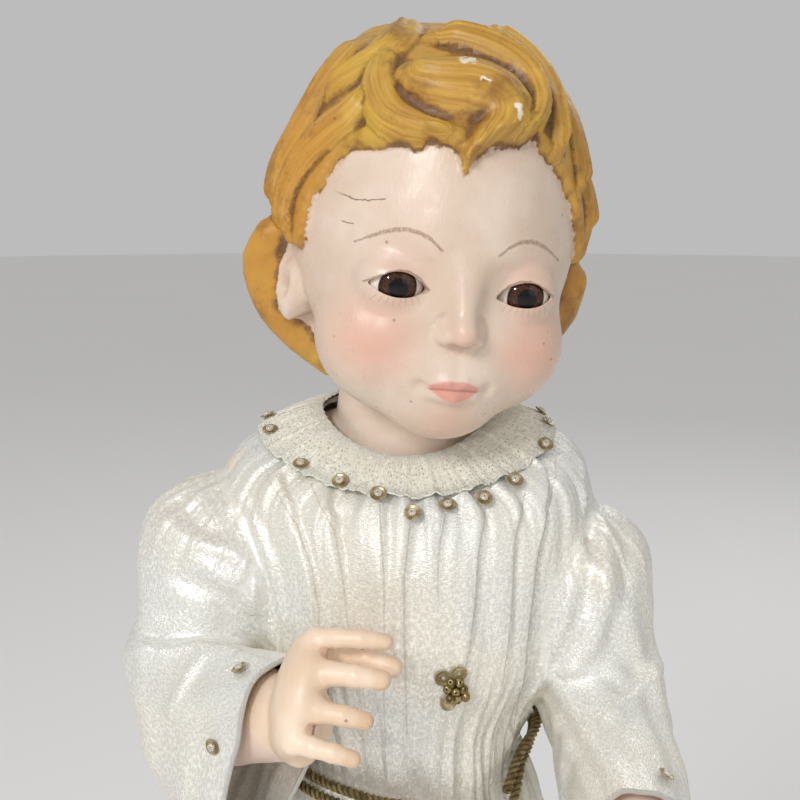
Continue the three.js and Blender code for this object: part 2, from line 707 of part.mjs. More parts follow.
function cordTube(points, steps) {
  const section = new THREE.Shape();
  const sides = 8;
  for (let i = 0; i < sides; i++) {
    const angle = (i * 2 * Math.PI) / sides;
    const [x, y] = [(CORD_DIAMETER / 2) * Math.cos(angle), (CORD_DIAMETER / 2) * Math.sin(angle)];
    if (i) section.lineTo(x, y);
    else section.moveTo(x, y);
  }
  const path = new THREE.CatmullRomCurve3(points);
  const made = new THREE.ExtrudeGeometry(section, { steps, bevelEnabled: false, extrudePath: path });
  return solidOf(seamless(made));
}

const knotCentre = roundWaist(KNOT_ANGLE, 0, CORD_LIFT + CORD_DIAMETER / 2 + 2 * GAP + KNOT_HALF.deep);

// From one side of the knot to the other, twice round and a cord's width lower the second time.
function waistCord() {
  const clear = (KNOT_HALF.wide + GAP + 0.6) / GOWN_WAIST.deep;
  const turns = 4 * Math.PI - 2 * clear;
  const count = 46;
  const points = [...Array(count + 1).keys()].map((i) => {
    const angle = KNOT_ANGLE + clear + (turns * i) / count;
    return roundWaist(angle, (0.5 - i / count) * 2 * (CORD_DIAMETER + GAP) * 1.1);
  });
  return cordTube(points, count);
}

function knot() {
  const { wide, deep } = KNOT_HALF;
  const geometry = seamless(new THREE.SphereGeometry(1, 8, 6));
  geometry.scale(wide, deep, wide).rotateZ(KNOT_ANGLE + Math.PI / 2);
  geometry.translate(...knotCentre);
  return solidOf(geometry);
}

// One hanging end, down over the skirt's folds from under the knot.
function cordEnd(side) {
  const from = knotCentre.clone().add(new THREE.Vector3(side * 1.6, 0, -KNOT_HALF.wide - GAP));
  const count = 8;
  const points = [...Array(count + 1).keys()].map((i) => {
    const drop = (CORD_ENDS * i * (side < 0 ? 1 : 0.86)) / count;
    const flare = gownRing(from.z - drop).deep - gownRing(from.z).deep;
    const apart = side * 3.5 * smoothstep(0, 1, i / count);
    return new THREE.Vector3(from.x + apart, from.y - flare * 1.1, from.z - drop);
  });
  return cordTube(points, 9);
}

// Sequins with their beads, sewn on the cloth

// The row along the collar across the front: the angle in degrees and the share of the gown's rows.
const NECK_ROW = [
  [-185, 0.1],
  [-165.5, 0.1],
  [-136, 0.105],
  [-117, 0.102],
  [-100.5, 0.125],
  [-88.5, 0.18],
  [-77, 0.16],
  [-64.5, 0.16],
  [-50, 0.14],
  [-24.5, 0.118],
  [-5, 0.1],
  [14, 0.1],
];

// The rows round the cuffs, at even steps in degrees, less those on the side that lies against the body.
const CUFF_ROWS = [
  { name: "right", side: -1, sleeve: SLEEVES[0], first: 17 },
  { name: "left", side: 1, sleeve: SLEEVES[1], first: -47.5 },
];
const CUFF_SEQUINS = 5;
const CUFF_SHARE = 0.92; // how far down the sleeve
const TOWARDS_BODY = -0.5; // a spot on the cuff that faces the body more than this has no sequin
const CUFF_STEP = 3 * DEGREE; // how far a sequin is moved along its row at a time, to lie free

function sequin(place) {
  const profile = [[0, 0], [1, 0], [1, 0.3], [0, 1]];
  const points = profile.map(([out, up]) => new THREE.Vector2(out * SEQUIN_RADIUS, up * SEQUIN_HEIGHT));
  const geometry = seamless(new THREE.LatheGeometry(points, 5));
  geometry.rotateX(Math.PI / 2).applyMatrix4(place);
  return solidOf(geometry);
}

// Where a small flat piece rests on the cloth below a point: it lies across the way it faces, on the
// highest spot under its rim.
function seat(cloth, from, facing, radius) {
  const out = facing.clone().normalize();
  const side = new THREE.Vector3(0, 0, 1).cross(out).normalize();
  const up = new THREE.Vector3().crossVectors(out, side);
  const caster = new THREE.Raycaster();
  let rest = Infinity;
  for (let i = 0; i < 9; i++) {
    const angle = (i * Math.PI) / 4;
    const reach = i < 8 ? radius * 1.05 : 0;
    const start = from.clone().addScaledVector(side, reach * Math.cos(angle));
    start.addScaledVector(up, reach * Math.sin(angle));
    caster.set(start, out.clone().negate());
    const hit = caster.intersectObjects(cloth)[0];
    if (hit) rest = Math.min(rest, hit.distance);
  }
  const at = from.clone().addScaledVector(out, GAP - rest);
  return new THREE.Matrix4().makeBasis(side, up, out).setPosition(at);
}

// The chest ornament in its own plane, in millimetres: three sequins under a cluster of gilt beads.
const BEAD_RADIUS = 1.35;
const ORNAMENT = {
  angle: -73.5,
  share: 0.456,
  radius: 6,
  sequins: [[0.8, 3.7], [-1.3, -3.4], [-2.6, 2.7]],
  beads: [[0, 0], [-1.7, 0.6], [1.7, 0.4], [0.8, 1.9], [-1, 2], [0.5, -1.8], [-1.1, -1.6], [2.1, -1.3]],
};

function ornament(place) {
  const discs = ORNAMENT.sequins.map(([x, y]) => {
    const shift = new THREE.Matrix4().makeTranslation(x, y, 0);
    return sequin(place.clone().multiply(shift));
  });
  const beads = ORNAMENT.beads.map(([x, y]) => {
    const bead = seamless(new THREE.OctahedronGeometry(BEAD_RADIUS));
    bead.rotateZ(0.4).translate(x, y, BEAD_RADIUS).applyMatrix4(place);
    return solidOf(bead);
  });
  return joined([...discs, ...beads]);
}

const twoDigits = (number) => String(number).padStart(2, "0");

// The way a surface faces, given the function of its points by angle and share of its length.
function facingOf(pointAt, angle, along) {
  const [turn, step] = [0.05, 1 / SLEEVE_STEPS];
  const round = pointAt(angle + turn, along).sub(pointAt(angle - turn, along));
  const down = pointAt(angle, along + step).sub(pointAt(angle, along - step));
  const facing = round.cross(down).normalize();
  const outwards = pointAt(angle, along).sub(pointAt(angle + Math.PI, along));
  return facing.dot(outwards) < 0 ? facing.negate() : facing;
}

// Sews a piece on the cloth: it is dropped from just above the surface at an angle and a share, so that
// it can't start behind another fold.
function sewn(cloth, pointAt, angle, along, radius) {
  const facing = facingOf(pointAt, angle, along);
  const start = SEQUIN_HEIGHT + OVER_GOWN + LACE + GAP;
  return seat(cloth, pointAt(angle, along).addScaledVector(facing, start), facing, radius);
}

// The turned base

// Shares of the base's radius and height, from the middle of its underside to the middle of its top.
const BASE_PROFILE = [
  [0, 0],
  [1, 0],
  [1, 0.24],
  [0.965, 0.36],
  [0.93, 0.62],
  [0.95, 0.74],
  [0.95, 0.9],
  [0.92, 1],
  [0, 1],
];

function baseSolid() {
  const profile = BASE_PROFILE.map(([out, up]) => new THREE.Vector2(out * BASE_RADIUS, up * BASE_HEIGHT));
  const geometry = seamless(new THREE.LatheGeometry(profile, 24));
  geometry.rotateX(Math.PI / 2);
  return solidOf(geometry);
}

// The part

const part = new THREE.Group();
const paint = new THREE.MeshStandardMaterial({ color: 0xe8cdb9, roughness: 0.45 });
const satin = new THREE.MeshStandardMaterial({ color: 0xebe7dd, roughness: 0.4 });
const lace = new THREE.MeshStandardMaterial({ color: 0xefe8d4, roughness: 0.8 });
const gilt = new THREE.MeshStandardMaterial({ color: 0x8f7a45, roughness: 0.4, metalness: 0.6 });
const walnut = new THREE.MeshStandardMaterial({ color: 0x5a3a22, roughness: 0.5 });
const glass = new THREE.MeshStandardMaterial({ color: 0x2a1a12, roughness: 0.05 });

function addPiece(name, solid, material) {
  const mesh = meshOf(name, solid, material);
  part.add(mesh);
  return mesh;
}

addPiece("carved_figure", figureSolid(), paint);
addPiece("glass_eye_right", ball(eyeCentre(-1).toArray(), Array(3).fill(EYE_RADIUS), EYE_SIDES), glass);
addPiece("glass_eye_left", ball(eyeCentre(1).toArray(), Array(3).fill(EYE_RADIUS), EYE_SIDES), glass);
const gownForm = gownSolid();
const gown = addPiece("satin_gown", gownForm, satin);
const collar = addPiece("lace_collar", collarSolid(), lace);
addPiece("turned_base", baseSolid(), walnut);
addPiece("waist_cord", waistCord(), gilt);
addPiece("cord_knot", knot(), gilt);
addPiece("cord_end_right", cordEnd(-1), gilt);
addPiece("cord_end_left", cordEnd(1), gilt);

part.updateMatrixWorld(true);
NECK_ROW.forEach(([angle, share], i) => {
  const place = sewn([gown, collar], gownPoint, angle * DEGREE, share, SEQUIN_RADIUS);
  addPiece(`sequin_neck_${twoDigits(i + 1)}`, sequin(place), gilt);
});
for (const { name, side, sleeve, first } of CUFF_ROWS) {
  const surface = (angle, along) => sleevePoint(sleeve, angle, along);
  const angles = [...Array(CUFF_SEQUINS).keys()].map((i) => (first + (i * 360) / CUFF_SEQUINS) * DEGREE);
  const outer = angles.filter((angle) => facingOf(surface, angle, CUFF_SHARE).x * side > TOWARDS_BODY);
  const sewnAt = (angle) => sequin(sewn([gown], surface, angle, CUFF_SHARE, SEQUIN_RADIUS));
  const isFree = (solid) => solid.intersect(gownForm).isEmpty();
  outer.forEach((angle, i) => {
    const steps = [...Array(12).keys()].map((step) => angle + step * CUFF_STEP);
    const free = steps.find((turned) => isFree(sewnAt(turned))) ?? angle;
    addPiece(`sequin_cuff_${name}_${twoDigits(i + 1)}`, sewnAt(free), gilt);
  });
}
const chest = sewn([gown], gownPoint, ORNAMENT.angle * DEGREE, ORNAMENT.share, ORNAMENT.radius);
addPiece("chest_ornament", ornament(chest), gilt);

export default part;
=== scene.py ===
# %% [markdown]
# A dressed devotional figure of a child. The figure is carved wood, painted in oil, with glass eyes; the
# clothes are real: a satin gown, a crocheted collar, a twisted gold cord, and sequins sewn on with beads.
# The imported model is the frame: every piece below sits where its solid sits. Lengths are worked out in
# millimetres, because that is how a maker would measure the figure, and become metres when a mesh is made.

# %% The frame and the tools
import math

import bmesh
import bpy
import numpy as np
from mathutils import Matrix, Vector
from mathutils.bvhtree import BVHTree


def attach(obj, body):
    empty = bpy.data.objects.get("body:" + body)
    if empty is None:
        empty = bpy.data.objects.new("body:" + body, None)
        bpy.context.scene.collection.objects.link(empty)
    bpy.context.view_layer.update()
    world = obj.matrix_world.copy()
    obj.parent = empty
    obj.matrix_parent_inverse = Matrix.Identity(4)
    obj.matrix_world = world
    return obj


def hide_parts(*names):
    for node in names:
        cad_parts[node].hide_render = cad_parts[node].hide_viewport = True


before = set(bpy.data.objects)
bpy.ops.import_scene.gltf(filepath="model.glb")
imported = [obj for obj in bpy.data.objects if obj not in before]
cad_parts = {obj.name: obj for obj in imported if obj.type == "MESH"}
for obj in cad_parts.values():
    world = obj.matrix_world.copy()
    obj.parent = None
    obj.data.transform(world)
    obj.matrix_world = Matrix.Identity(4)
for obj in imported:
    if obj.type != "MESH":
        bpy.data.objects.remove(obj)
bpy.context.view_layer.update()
MM = 0.001
random = np.random.default_rng(7)

# %% [markdown]
# The photograph was taken from close by, a little above the collar, so the camera stands 0.3 m away and
# looks down by ten degrees. The point that it looks at is on the figure's middle plane, behind the chin.

# %% The camera
LOOK_AT = Vector((-1.6, 0, 347.5)) * MM
LOOK_DOWN = math.radians(10)
DISTANCE = 300 * MM
LENS = 59.4

camera = bpy.data.objects.new("camera", bpy.data.cameras.new("camera"))
camera.data.lens = LENS
camera.data.clip_start = 0.01
camera.rotation_euler = (math.pi / 2 - LOOK_DOWN, 0, 0)
away = Vector((0, -math.cos(LOOK_DOWN), math.sin(LOOK_DOWN)))
camera.location = LOOK_AT + DISTANCE * away
bpy.context.scene.collection.objects.link(camera)
bpy.context.scene.camera = camera
print("camera at", [round(x, 4) for x in camera.location])

# %% [markdown]
# The pattern of every finish is made of the same few nodes. One short helper adds a node, sets its options
# and its inputs, and links those inputs that are sockets already, so that a finish reads from top to bottom
# like a recipe. Colours are written as they look on screen, and turned into the linear values of the nodes.


# %% Helpers for the finishes
def colour(red, green, blue):
    """A colour from its 0 to 255 values as seen, in the linear form that nodes use."""
    shares = [channel / 255 for channel in (red, green, blue)]
    return (*[s / 12.92 if s < 0.04045 else ((s + 0.055) / 1.055) ** 2.4 for s in shares], 1)


def put(tree, kind, inputs=None, **options):
    """Adds a node; inputs holds values or sockets by name or number."""
    made = tree.nodes.new("ShaderNode" + kind)
    for key, value in options.items():
        setattr(made, key, value)
    for key, value in (inputs or {}).items():
        if isinstance(value, bpy.types.NodeSocket):
            tree.links.new(value, made.inputs[key])
        else:
            made.inputs[key].default_value = value
    return made


def maths(tree, operation, a, b=0.0, clamped=False):
    return put(tree, "Math", {0: a, 1: b}, operation=operation, use_clamp=clamped).outputs[0]


def plus(tree, a, b, clamped=False):
    return maths(tree, "ADD", a, b, clamped)


def minus(tree, a, b):
    return maths(tree, "SUBTRACT", a, b)


def times(tree, a, b):
    return maths(tree, "MULTIPLY", a, b)


def vector_maths(tree, operation, a, b, output=0):
    return put(tree, "VectorMath", {0: a, 1: b}, operation=operation).outputs[output]


def between(tree, value, low, high, to_low=0.0, to_high=1.0):
    """The value's place between low and high, with soft ends."""
    sockets = {"Value": value, "From Min": low, "From Max": high, "To Min": to_low, "To Max": to_high}
    return put(tree, "MapRange", sockets, interpolation_type="SMOOTHSTEP").outputs[0]


def mixed(tree, amount, a, b, blend="MIX"):
    """Two colours mixed by a mask."""
    return put(tree, "Mix", {0: amount, 6: a, 7: b}, data_type="RGBA", blend_type=blend).outputs[2]


def stained(tree, base, mask, share, tint):
    """A tint laid over the base where the mask is, at a share of its strength."""
    return mixed(tree, times(tree, mask, share), base, tint)


def placed(tree, vector, scale):
    return put(tree, "Mapping", {"Vector": vector, "Scale": scale}).outputs[0]


def noise(tree, vector, scale, detail=3.0, roughness=0.5, distortion=0.0):
    sockets = {"Vector": vector, "Scale": scale, "Detail": detail, "Roughness": roughness}
    return put(tree, "TexNoise", {**sockets, "Distortion": distortion}).outputs[0]


def attribute(tree, name):
    return put(tree, "Attribute", attribute_name=name).outputs["Fac"]


def bump(tree, height, depth, strength=1.0):
    """A normal from a height in metres of the given depth."""
    return put(tree, "Bump", {"Height": height, "Distance": depth, "Strength": strength}).outputs[0]


print("a mid grey is", round(colour(128, 128, 128)[0], 3), "in linear values")


# %% A new material, its last step, and node groups
def finish(name, **plain):
    """A new material: its tree, its shader and the object coordinates, with plain values on the shader."""
    made = bpy.data.materials.new(name)
    made.use_nodes = True
    tree = made.node_tree
    shader = tree.nodes["Principled BSDF"]
    for key, value in plain.items():
        shader.inputs[key.replace("_", " ")].default_value = value
    here = put(tree, "TexCoord").outputs["Object"]
    return made, tree, shader, here


def coated(tree, shader, base, rough=None, normal=None):
    """Gives a finish's colour, roughness and normal to its shader."""
    for key, socket in (("Base Color", base), ("Roughness", rough), ("Normal", normal)):
        if socket is not None:
            tree.links.new(socket, shader.inputs[key])


def group(name, inputs, outputs):
    """A node group with named number, colour or vector sockets."""
    made = bpy.data.node_groups.new(name, "ShaderNodeTree")
    kinds = {"number": "NodeSocketFloat", "colour": "NodeSocketColor", "vector": "NodeSocketVector"}
    for key, (kind, value) in inputs.items():
        socket = made.interface.new_socket(key, in_out="INPUT", socket_type=kinds[kind])
        if value is not None:
            socket.default_value = value
    for key, kind in outputs.items():
        made.interface.new_socket(key, in_out="OUTPUT", socket_type=kinds[kind])
    return made, made.nodes.new("NodeGroupInput").outputs, made.nodes.new("NodeGroupOutput").inputs


def use(tree, shared, inputs):
    """Places a shared group in a finish and returns its outputs."""
    return put(tree, "Group", inputs, node_tree=shared).outputs


# %% [markdown]
# Three effects come back on several finishes. Grime is a soft, broken darkening that gathers in hollows, for
# dirt and for painted shade. Specks are the small dark dots of old varnish. A stroke is one line of a brush
# or of a crack, between two points.

# %% Shared effects
GRIME_AND_SHADE, given, out = group(
    "grime_and_shade",
    {
        "Vector": ("vector", None),
        "Hollow": ("number", 0.0),
        "Size": ("number", 300.0),
        "Amount": ("number", 0.5),
    },
    {"Mask": "number"},
)
# Dirt and painted shade: cloudy noise, darker where the surface is hollow.
cloudy = noise(GRIME_AND_SHADE, given["Vector"], given["Size"], 6.0, 0.65)
sunk = plus(GRIME_AND_SHADE, cloudy, times(GRIME_AND_SHADE, given["Hollow"], 0.55))
level = minus(GRIME_AND_SHADE, 0.95, times(GRIME_AND_SHADE, given["Amount"], 0.5))
GRIME_AND_SHADE.links.new(between(GRIME_AND_SHADE, minus(GRIME_AND_SHADE, sunk, level), -0.08, 0.22), out["Mask"])

SPECKS, given, out = group(
    "specks",
    {"Vector": ("vector", None), "Size": ("number", 400.0), "Share": ("number", 0.1)},
    {"Mask": "number"},
)
cell = put(SPECKS, "TexVoronoi", {"Vector": given["Vector"], "Scale": given["Size"], "Randomness": 1.0})
dot = between(SPECKS, cell.outputs["Distance"], 0.16, 0.09)
chosen = put(SPECKS, "SeparateColor", {0: cell.outputs["Color"]}).outputs[0]
kept = maths(SPECKS, "LESS_THAN", chosen, given["Share"])
SPECKS.links.new(times(SPECKS, dot, kept), out["Mask"])

STROKE, given, out = group(
    "stroke",
    {
        "Vector": ("vector", None),
        "Start": ("vector", (0, 0, 0)),
        "End": ("vector", (1, 0, 0)),
        "Width": ("number", 0.5),
    },
    {"Mask": "number"},
)
way = vector_maths(STROKE, "SUBTRACT", given["End"], given["Start"])
off = vector_maths(STROKE, "SUBTRACT", given["Vector"], given["Start"])
along = maths(STROKE, "DIVIDE", vector_maths(STROKE, "DOT_PRODUCT", off, way, 1),
              vector_maths(STROKE, "DOT_PRODUCT", way, way, 1))
along = maths(STROKE, "MAXIMUM", maths(STROKE, "MINIMUM", along, 1.0), 0.0)
reached = put(STROKE, "VectorMath", {0: way, "Scale": along}, operation="SCALE").outputs[0]
apart = vector_maths(STROKE, "DISTANCE", off, reached, 1)
STROKE.links.new(between(STROKE, maths(STROKE, "DIVIDE", apart, given["Width"]), 1.0, 0.35), out["Mask"])
print("shared effects:", [g.name for g in (GRIME_AND_SHADE, SPECKS, STROKE)])


# %% The effects as masks
def grime_and_shade_mask(tree, vector, hollow, size, amount):
    return use(tree, GRIME_AND_SHADE, {"Vector": vector, "Hollow": hollow, "Size": size, "Amount": amount})["Mask"]


def specked(tree, vector, size, share):
    return use(tree, SPECKS, {"Vector": vector, "Size": size, "Share": share})["Mask"]


def strokes(tree, vector, lines):
    """One mask for several strokes, each from a start to an end with a width."""
    total = 0.0
    for start, end, width in lines:
        mark = use(tree, STROKE, {"Vector": vector, "Start": start, "End": end, "Width": width})["Mask"]
        total = maths(tree, "MAXIMUM", mark, total)
    return total

# %% [markdown]
# Every mesh starts from one of Blender's own shapes, and its points are then moved as a block, which numpy
# does quickly even for the eighty thousand faces of the head. One helper hands a mesh's points over in
# millimetres, one puts them back, and one finds the hollows, where old dirt settles and where shade is
# painted in.


# %% Helpers for the meshes
def points_of(mesh):
    co = np.empty(len(mesh.vertices) * 3)
    mesh.vertices.foreach_get("co", co)
    return co.reshape(-1, 3) / MM


def move_points(mesh, points):
    mesh.vertices.foreach_set("co", (points * MM).ravel())
    mesh.update()


def mesh_from(bm, name):
    mesh = bpy.data.meshes.new(name)
    bm.to_mesh(mesh)
    bm.free()
    return mesh


# %% Mesh operators, normals and edges
def opened(mesh):
    """A mesh opened for Blender's mesh operators."""
    bm = bmesh.new()
    bm.from_mesh(mesh)
    return bm


def smoothed(bm, verts, rounds):
    for _ in range(rounds):
        bmesh.ops.smooth_vert(bm, verts=verts, factor=0.5, use_axis_x=True, use_axis_y=True, use_axis_z=True)


def normals_of(mesh):
    normals = np.empty(len(mesh.vertices) * 3)
    mesh.vertices.foreach_get("normal", normals)
    return normals.reshape(-1, 3)


def edges_of(mesh):
    """The two points of every edge, by number."""
    pairs = np.empty(len(mesh.edges) * 2, dtype=np.int64)
    mesh.edges.foreach_get("vertices", pairs)
    return pairs.reshape(-1, 2)


def unit(vectors):
    return vectors / np.linalg.norm(vectors, axis=1, keepdims=True)


# %% Pieces of the part, and what their finishes read
def in_scene(name, data):
    made = bpy.data.objects.new(name, data)
    bpy.context.scene.collection.objects.link(made)
    return made


def piece(name, mesh, material, node):
    """An object of the part: it rides on the one body and stands for the given solid."""
    made = in_scene(name, mesh)
    mesh.materials.clear()
    mesh.materials.append(material)
    mesh.polygons.foreach_set("use_smooth", [True] * len(mesh.polygons))
    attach(made, "root")
    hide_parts(node)
    print(f"{name}: {sum(len(p.vertices) - 2 for p in mesh.polygons)} triangles")
    return made


def store(mesh, name, values):
    """Keeps one number per point on the mesh, for its finish to read."""
    layer = mesh.attributes.get(name) or mesh.attributes.new(name, "FLOAT", "POINT")
    layer.data.foreach_set("value", np.ascontiguousarray(values, dtype=np.float32))


def hollows(mesh, rounds=3, size=1.0):
    """How far each point lies below its neighbours, in shares of size, spread over a few rounds."""
    points, normals = points_of(mesh), normals_of(mesh)
    a, b = edges_of(mesh).T
    count = np.maximum(np.bincount(a, minlength=len(points)) + np.bincount(b, minlength=len(points)), 1)

    def averaged(values):
        total = np.zeros_like(values)
        for axis in range(values.shape[1]):
            total[:, axis] = np.bincount(a, values[b, axis], len(points))
            total[:, axis] += np.bincount(b, values[a, axis], len(points))
        return total / count[:, None]

    soft = points
    for _ in range(rounds):
        soft = averaged(soft)
    sunk = ((soft - points) * normals).sum(axis=1, keepdims=True) / size
    for _ in range(2):
        sunk = averaged(sunk)
    return np.clip(sunk[:, 0], -1, 1)


# %% Smooth steps
def soft_step(low, high, x):
    t = np.clip((x - low) / (high - low), 0, 1)
    return t * t * (3 - 2 * t)


def through(pairs, x):
    """A smooth curve through [x, value] pairs, flat beyond its ends."""
    xs, ys = np.array(pairs, dtype=float).T
    i = np.clip(np.searchsorted(xs, x, side="right") - 1, 0, len(xs) - 2)
    t = soft_step(0, 1, (x - xs[i]) / (xs[i + 1] - xs[i]))
    return ys[i] + (ys[i + 1] - ys[i]) * t


# %% [markdown]
# The carved forms are described by distances: how far a point is outside an egg or a tapering rod. Two
# forms melt into each other over a short reach, as wood does under a rasp, and one can hollow the other.


# %% Carving with distances
def to_egg(p, centre, radii):
    off = p - np.array(centre, dtype=float)
    radii = np.array(radii, dtype=float)
    near = np.linalg.norm(off / radii, axis=1)
    slope = np.linalg.norm(off / radii**2, axis=1)
    return near * (near - 1) / np.maximum(slope, 1e-9)


def to_rod(p, start, end, start_radius, end_radius):
    start, end = np.array(start, dtype=float), np.array(end, dtype=float)
    way = end - start
    share = np.clip((p - start) @ way / (way @ way), 0, 1)
    gone = np.linalg.norm(p - start - share[:, None] * way, axis=1)
    return gone - start_radius - (end_radius - start_radius) * share


def melt(a, b, reach):
    overlap = np.maximum(reach - np.abs(a - b), 0) / reach
    return np.minimum(a, b) - overlap * overlap * reach / 4


def carve(a, b, reach):
    return -melt(-a, b, reach)


# %% Smooth lines
def curve(a, b, c, d, t):
    """A smooth way from b to c, with a before them and d behind them."""
    return b + 0.5 * t * (c - a + t * (2 * a - 5 * b + 4 * c - d + t * (3 * (b - c) + d - a)))


def smooth_line(points, count):
    """Points at even steps along a smooth curve through a few given ones."""
    given = np.array(points, dtype=float)
    padded = np.vstack([2 * given[0] - given[1], given, 2 * given[-1] - given[-2]])
    fine = []
    for a, b, c, d in zip(padded, padded[1:], padded[2:], padded[3:]):
        t = np.linspace(0, 1, 24, endpoint=False)[:, None]
        fine.append(curve(a, b, c, d, t))
    fine = np.vstack([*fine, given[-1:]])
    gone = np.concatenate([[0], np.cumsum(np.linalg.norm(np.diff(fine, axis=0), axis=1))])
    wanted = np.linspace(0, gone[-1], count)
    return np.stack([np.interp(wanted, gone, fine[:, axis]) for axis in range(given.shape[1])], axis=1)


def closed_line(points, count):
    """The same round a closed ring: three rounds are drawn and the middle one is kept."""
    ring = np.vstack([points] * 3 + [points[:1]])
    return smooth_line(ring, 3 * count + 1)[count:2 * count]


print("a ring of four corners as a line of", len(closed_line(np.eye(4)[:, :3], 12)), "points")

# %% [markdown]
# The head was carved from one block. Its skull and face are eggs that melt into each other, on a child's
# proportions: large skull, eyes just under the middle, short nose, full cheeks, small chin. The hair is the
# same surface, raised in broad locks that were cut with a gouge, each round across and pointed at its end.
# A ball of points is moved out from the middle of the head until every point meets the carved surface.

# %% The head's measures
SOLES = 24.3
BODY = 3.21
HEAD = 0.88
DEGREE = math.pi / 180
EYE_SIDE, EYE_FRONT, EYE_LEVEL, EYE_RADIUS, LID = 15, -29.8, -13, 7.6, 1.1
HEAD_SPOT = Vector((1.6 * BODY, -1.4 * BODY, SOLES + 100 * BODY + 50 * HEAD))
HEAD_TURN = (4 * DEGREE, 6 * DEGREE, 13 * DEGREE)
HEAD_PLACE = np.array(
    Matrix.Translation(HEAD_SPOT)
    @ Matrix.Rotation(HEAD_TURN[2], 4, "Z")
    @ Matrix.Rotation(HEAD_TURN[1], 4, "Y")
    @ Matrix.Rotation(HEAD_TURN[0], 4, "X")
    @ Matrix.Scale(HEAD, 4)
)
HEAD_PLACE_BACK = np.linalg.inv(HEAD_PLACE)

# The hairline: the angle round the head from the front, and the height over the level, both in degrees. The
# places over the forehead were worked out from the photograph by a scratch program and rounded.
HAIRLINE = [[-180, -48], [-128, -46], [-104, -32], [-88, -14], [-70, -16], [-66, -12], [-62, 6], [-54, 20],
            [-49, 23.5], [-39, 24], [-29, 25.5], [-21, 24], [-18, 26.5], [-11, 26], [-8, 24], [-5, 17.5],
            [-2.5, 23], [5, 27], [13, 28], [24, 32], [27, 28], [33, 25], [41, 21], [48, 14], [54, 4],
            [66, -12], [88, -14], [104, -32], [128, -46], [180, -48]]

# The locks: a path of places like those, from root to tip, the half-width in degrees and the relief. Some of
# the first ones follow places that the same scratch program worked out from the photograph.
LOCKS = [
    ([[-38, 48], [-18, 46], [-3, 46], [9, 42], [10, 34], [3, 27], [-5, 18]], 11, 4.6),
    ([[-34, 67], [-12, 66], [11, 63], [26, 56], [28, 47], [23, 38], [15, 31], [7, 28]], 6, 4.8),
    ([[-54, 60], [-47, 46], [-36, 35], [-23, 30], [-9, 29]], 7.5, 3.2),
    ([[60, 82], [60, 66], [50, 52], [40, 40], [34, 27]], 9, 3.6),
    ([[110, 66], [84, 50], [66, 34], [54, 16]], 10, 3.4),
    ([[120, 46], [98, 34], [80, 18], [70, 0]], 10, 3.4),
    ([[-90, 76], [-58, 60], [-68, 51], [-80, 40]], 9, 3.0),
    ([[-50, 46], [-53, 35], [-64, 28], [-74, 18], [-78, 2], [-74, -12]], 8.5, 3.4),
    ([[-116, 62], [-96, 46], [-92, 28], [-96, 12], [-88, -4]], 10, 3.4),
]
for i in range(5):
    angle, sway = 130 + 25 * i, 8 if i % 2 else -8
    path = [[angle, 74], [angle + sway, 48], [angle - sway, 20], [angle + sway, -6], [angle, -34]]
    LOCKS.append((path, 14, 3.4))

CURLS = [
    [[-38, 3, -9, 4.8], [-39.5, 5, -16, 5.4], [-36, 6, -26, 4.8], [-29, 5, -33, 4.6], [-20.5, 3, -39, 4]],
    [[39, 6, 2, 6], [39.5, 7, -5, 5]],
    [[39, 5, -14, 6], [38, 6, -23, 5.4], [30, 5, -33, 4.5], [20.5, 3, -39, 4]],
]
CURLS = [smooth_line(curl, 3 * len(curl) - 2) for curl in CURLS]
print(len(LOCKS), "locks and", len(CURLS), "curls")


# %% Hair as locks on the ball of directions
def direction(angle, height):
    a, h = np.asarray(angle) * DEGREE, np.asarray(height) * DEGREE
    return np.stack([np.cos(h) * np.sin(a), -np.cos(h) * np.cos(a), np.sin(h)], axis=-1)


def above_hairline(towards):
    angle = np.arctan2(towards[:, 0], -towards[:, 1]) / DEGREE
    return np.arcsin(np.clip(towards[:, 2], -1, 1)) / DEGREE - through(HAIRLINE, angle)


def locks_on(towards, steps=14):
    """Relief, place across and place along of the lock that stands highest in each direction."""
    best = np.zeros((len(towards), 4))
    for number, (path, width, relief) in enumerate(LOCKS):
        line = unit(smooth_line(direction(*np.array(path, dtype=float).T), steps + 1))
        for i in range(steps):
            step = line[i + 1] - line[i]
            off = towards - line[i]
            share = np.clip(off @ step / (step @ step), 0, 1)
            off = off - share[:, None] * step
            along = (i + share) / steps
            half = width * DEGREE * (0.35 + 0.65 * np.sin(np.pi * along**0.8))
            across = np.linalg.norm(off, axis=1) / half
            ends = soft_step(0, 0.14, along) * soft_step(1, 0.88, along)
            height = relief * (1 - across**2) * (0.25 + 0.75 * ends)
            side = np.sign(off @ np.cross(step, line[i]))
            higher = height > best[:, 0]
            values = np.stack([height, side * across, along, np.full(len(along), number)], axis=1)
            best[higher] = values[higher]
    return best


STRANDS = 3
STRAND_DEPTH = 0.42


def hair_height(towards):
    """The hair's height over the skull, with the gouge's grooves along each lock."""
    relief, across, along, number = locks_on(towards).T
    groove = np.cos(STRANDS * np.pi * across + 1.3 * np.sin(5 * along + number)) * (1 - across**2)
    fade = soft_step(0.4, 2.0, relief)
    return (2.2 + relief + STRAND_DEPTH * groove * fade) * soft_step(0, 3.2, above_hairline(towards))


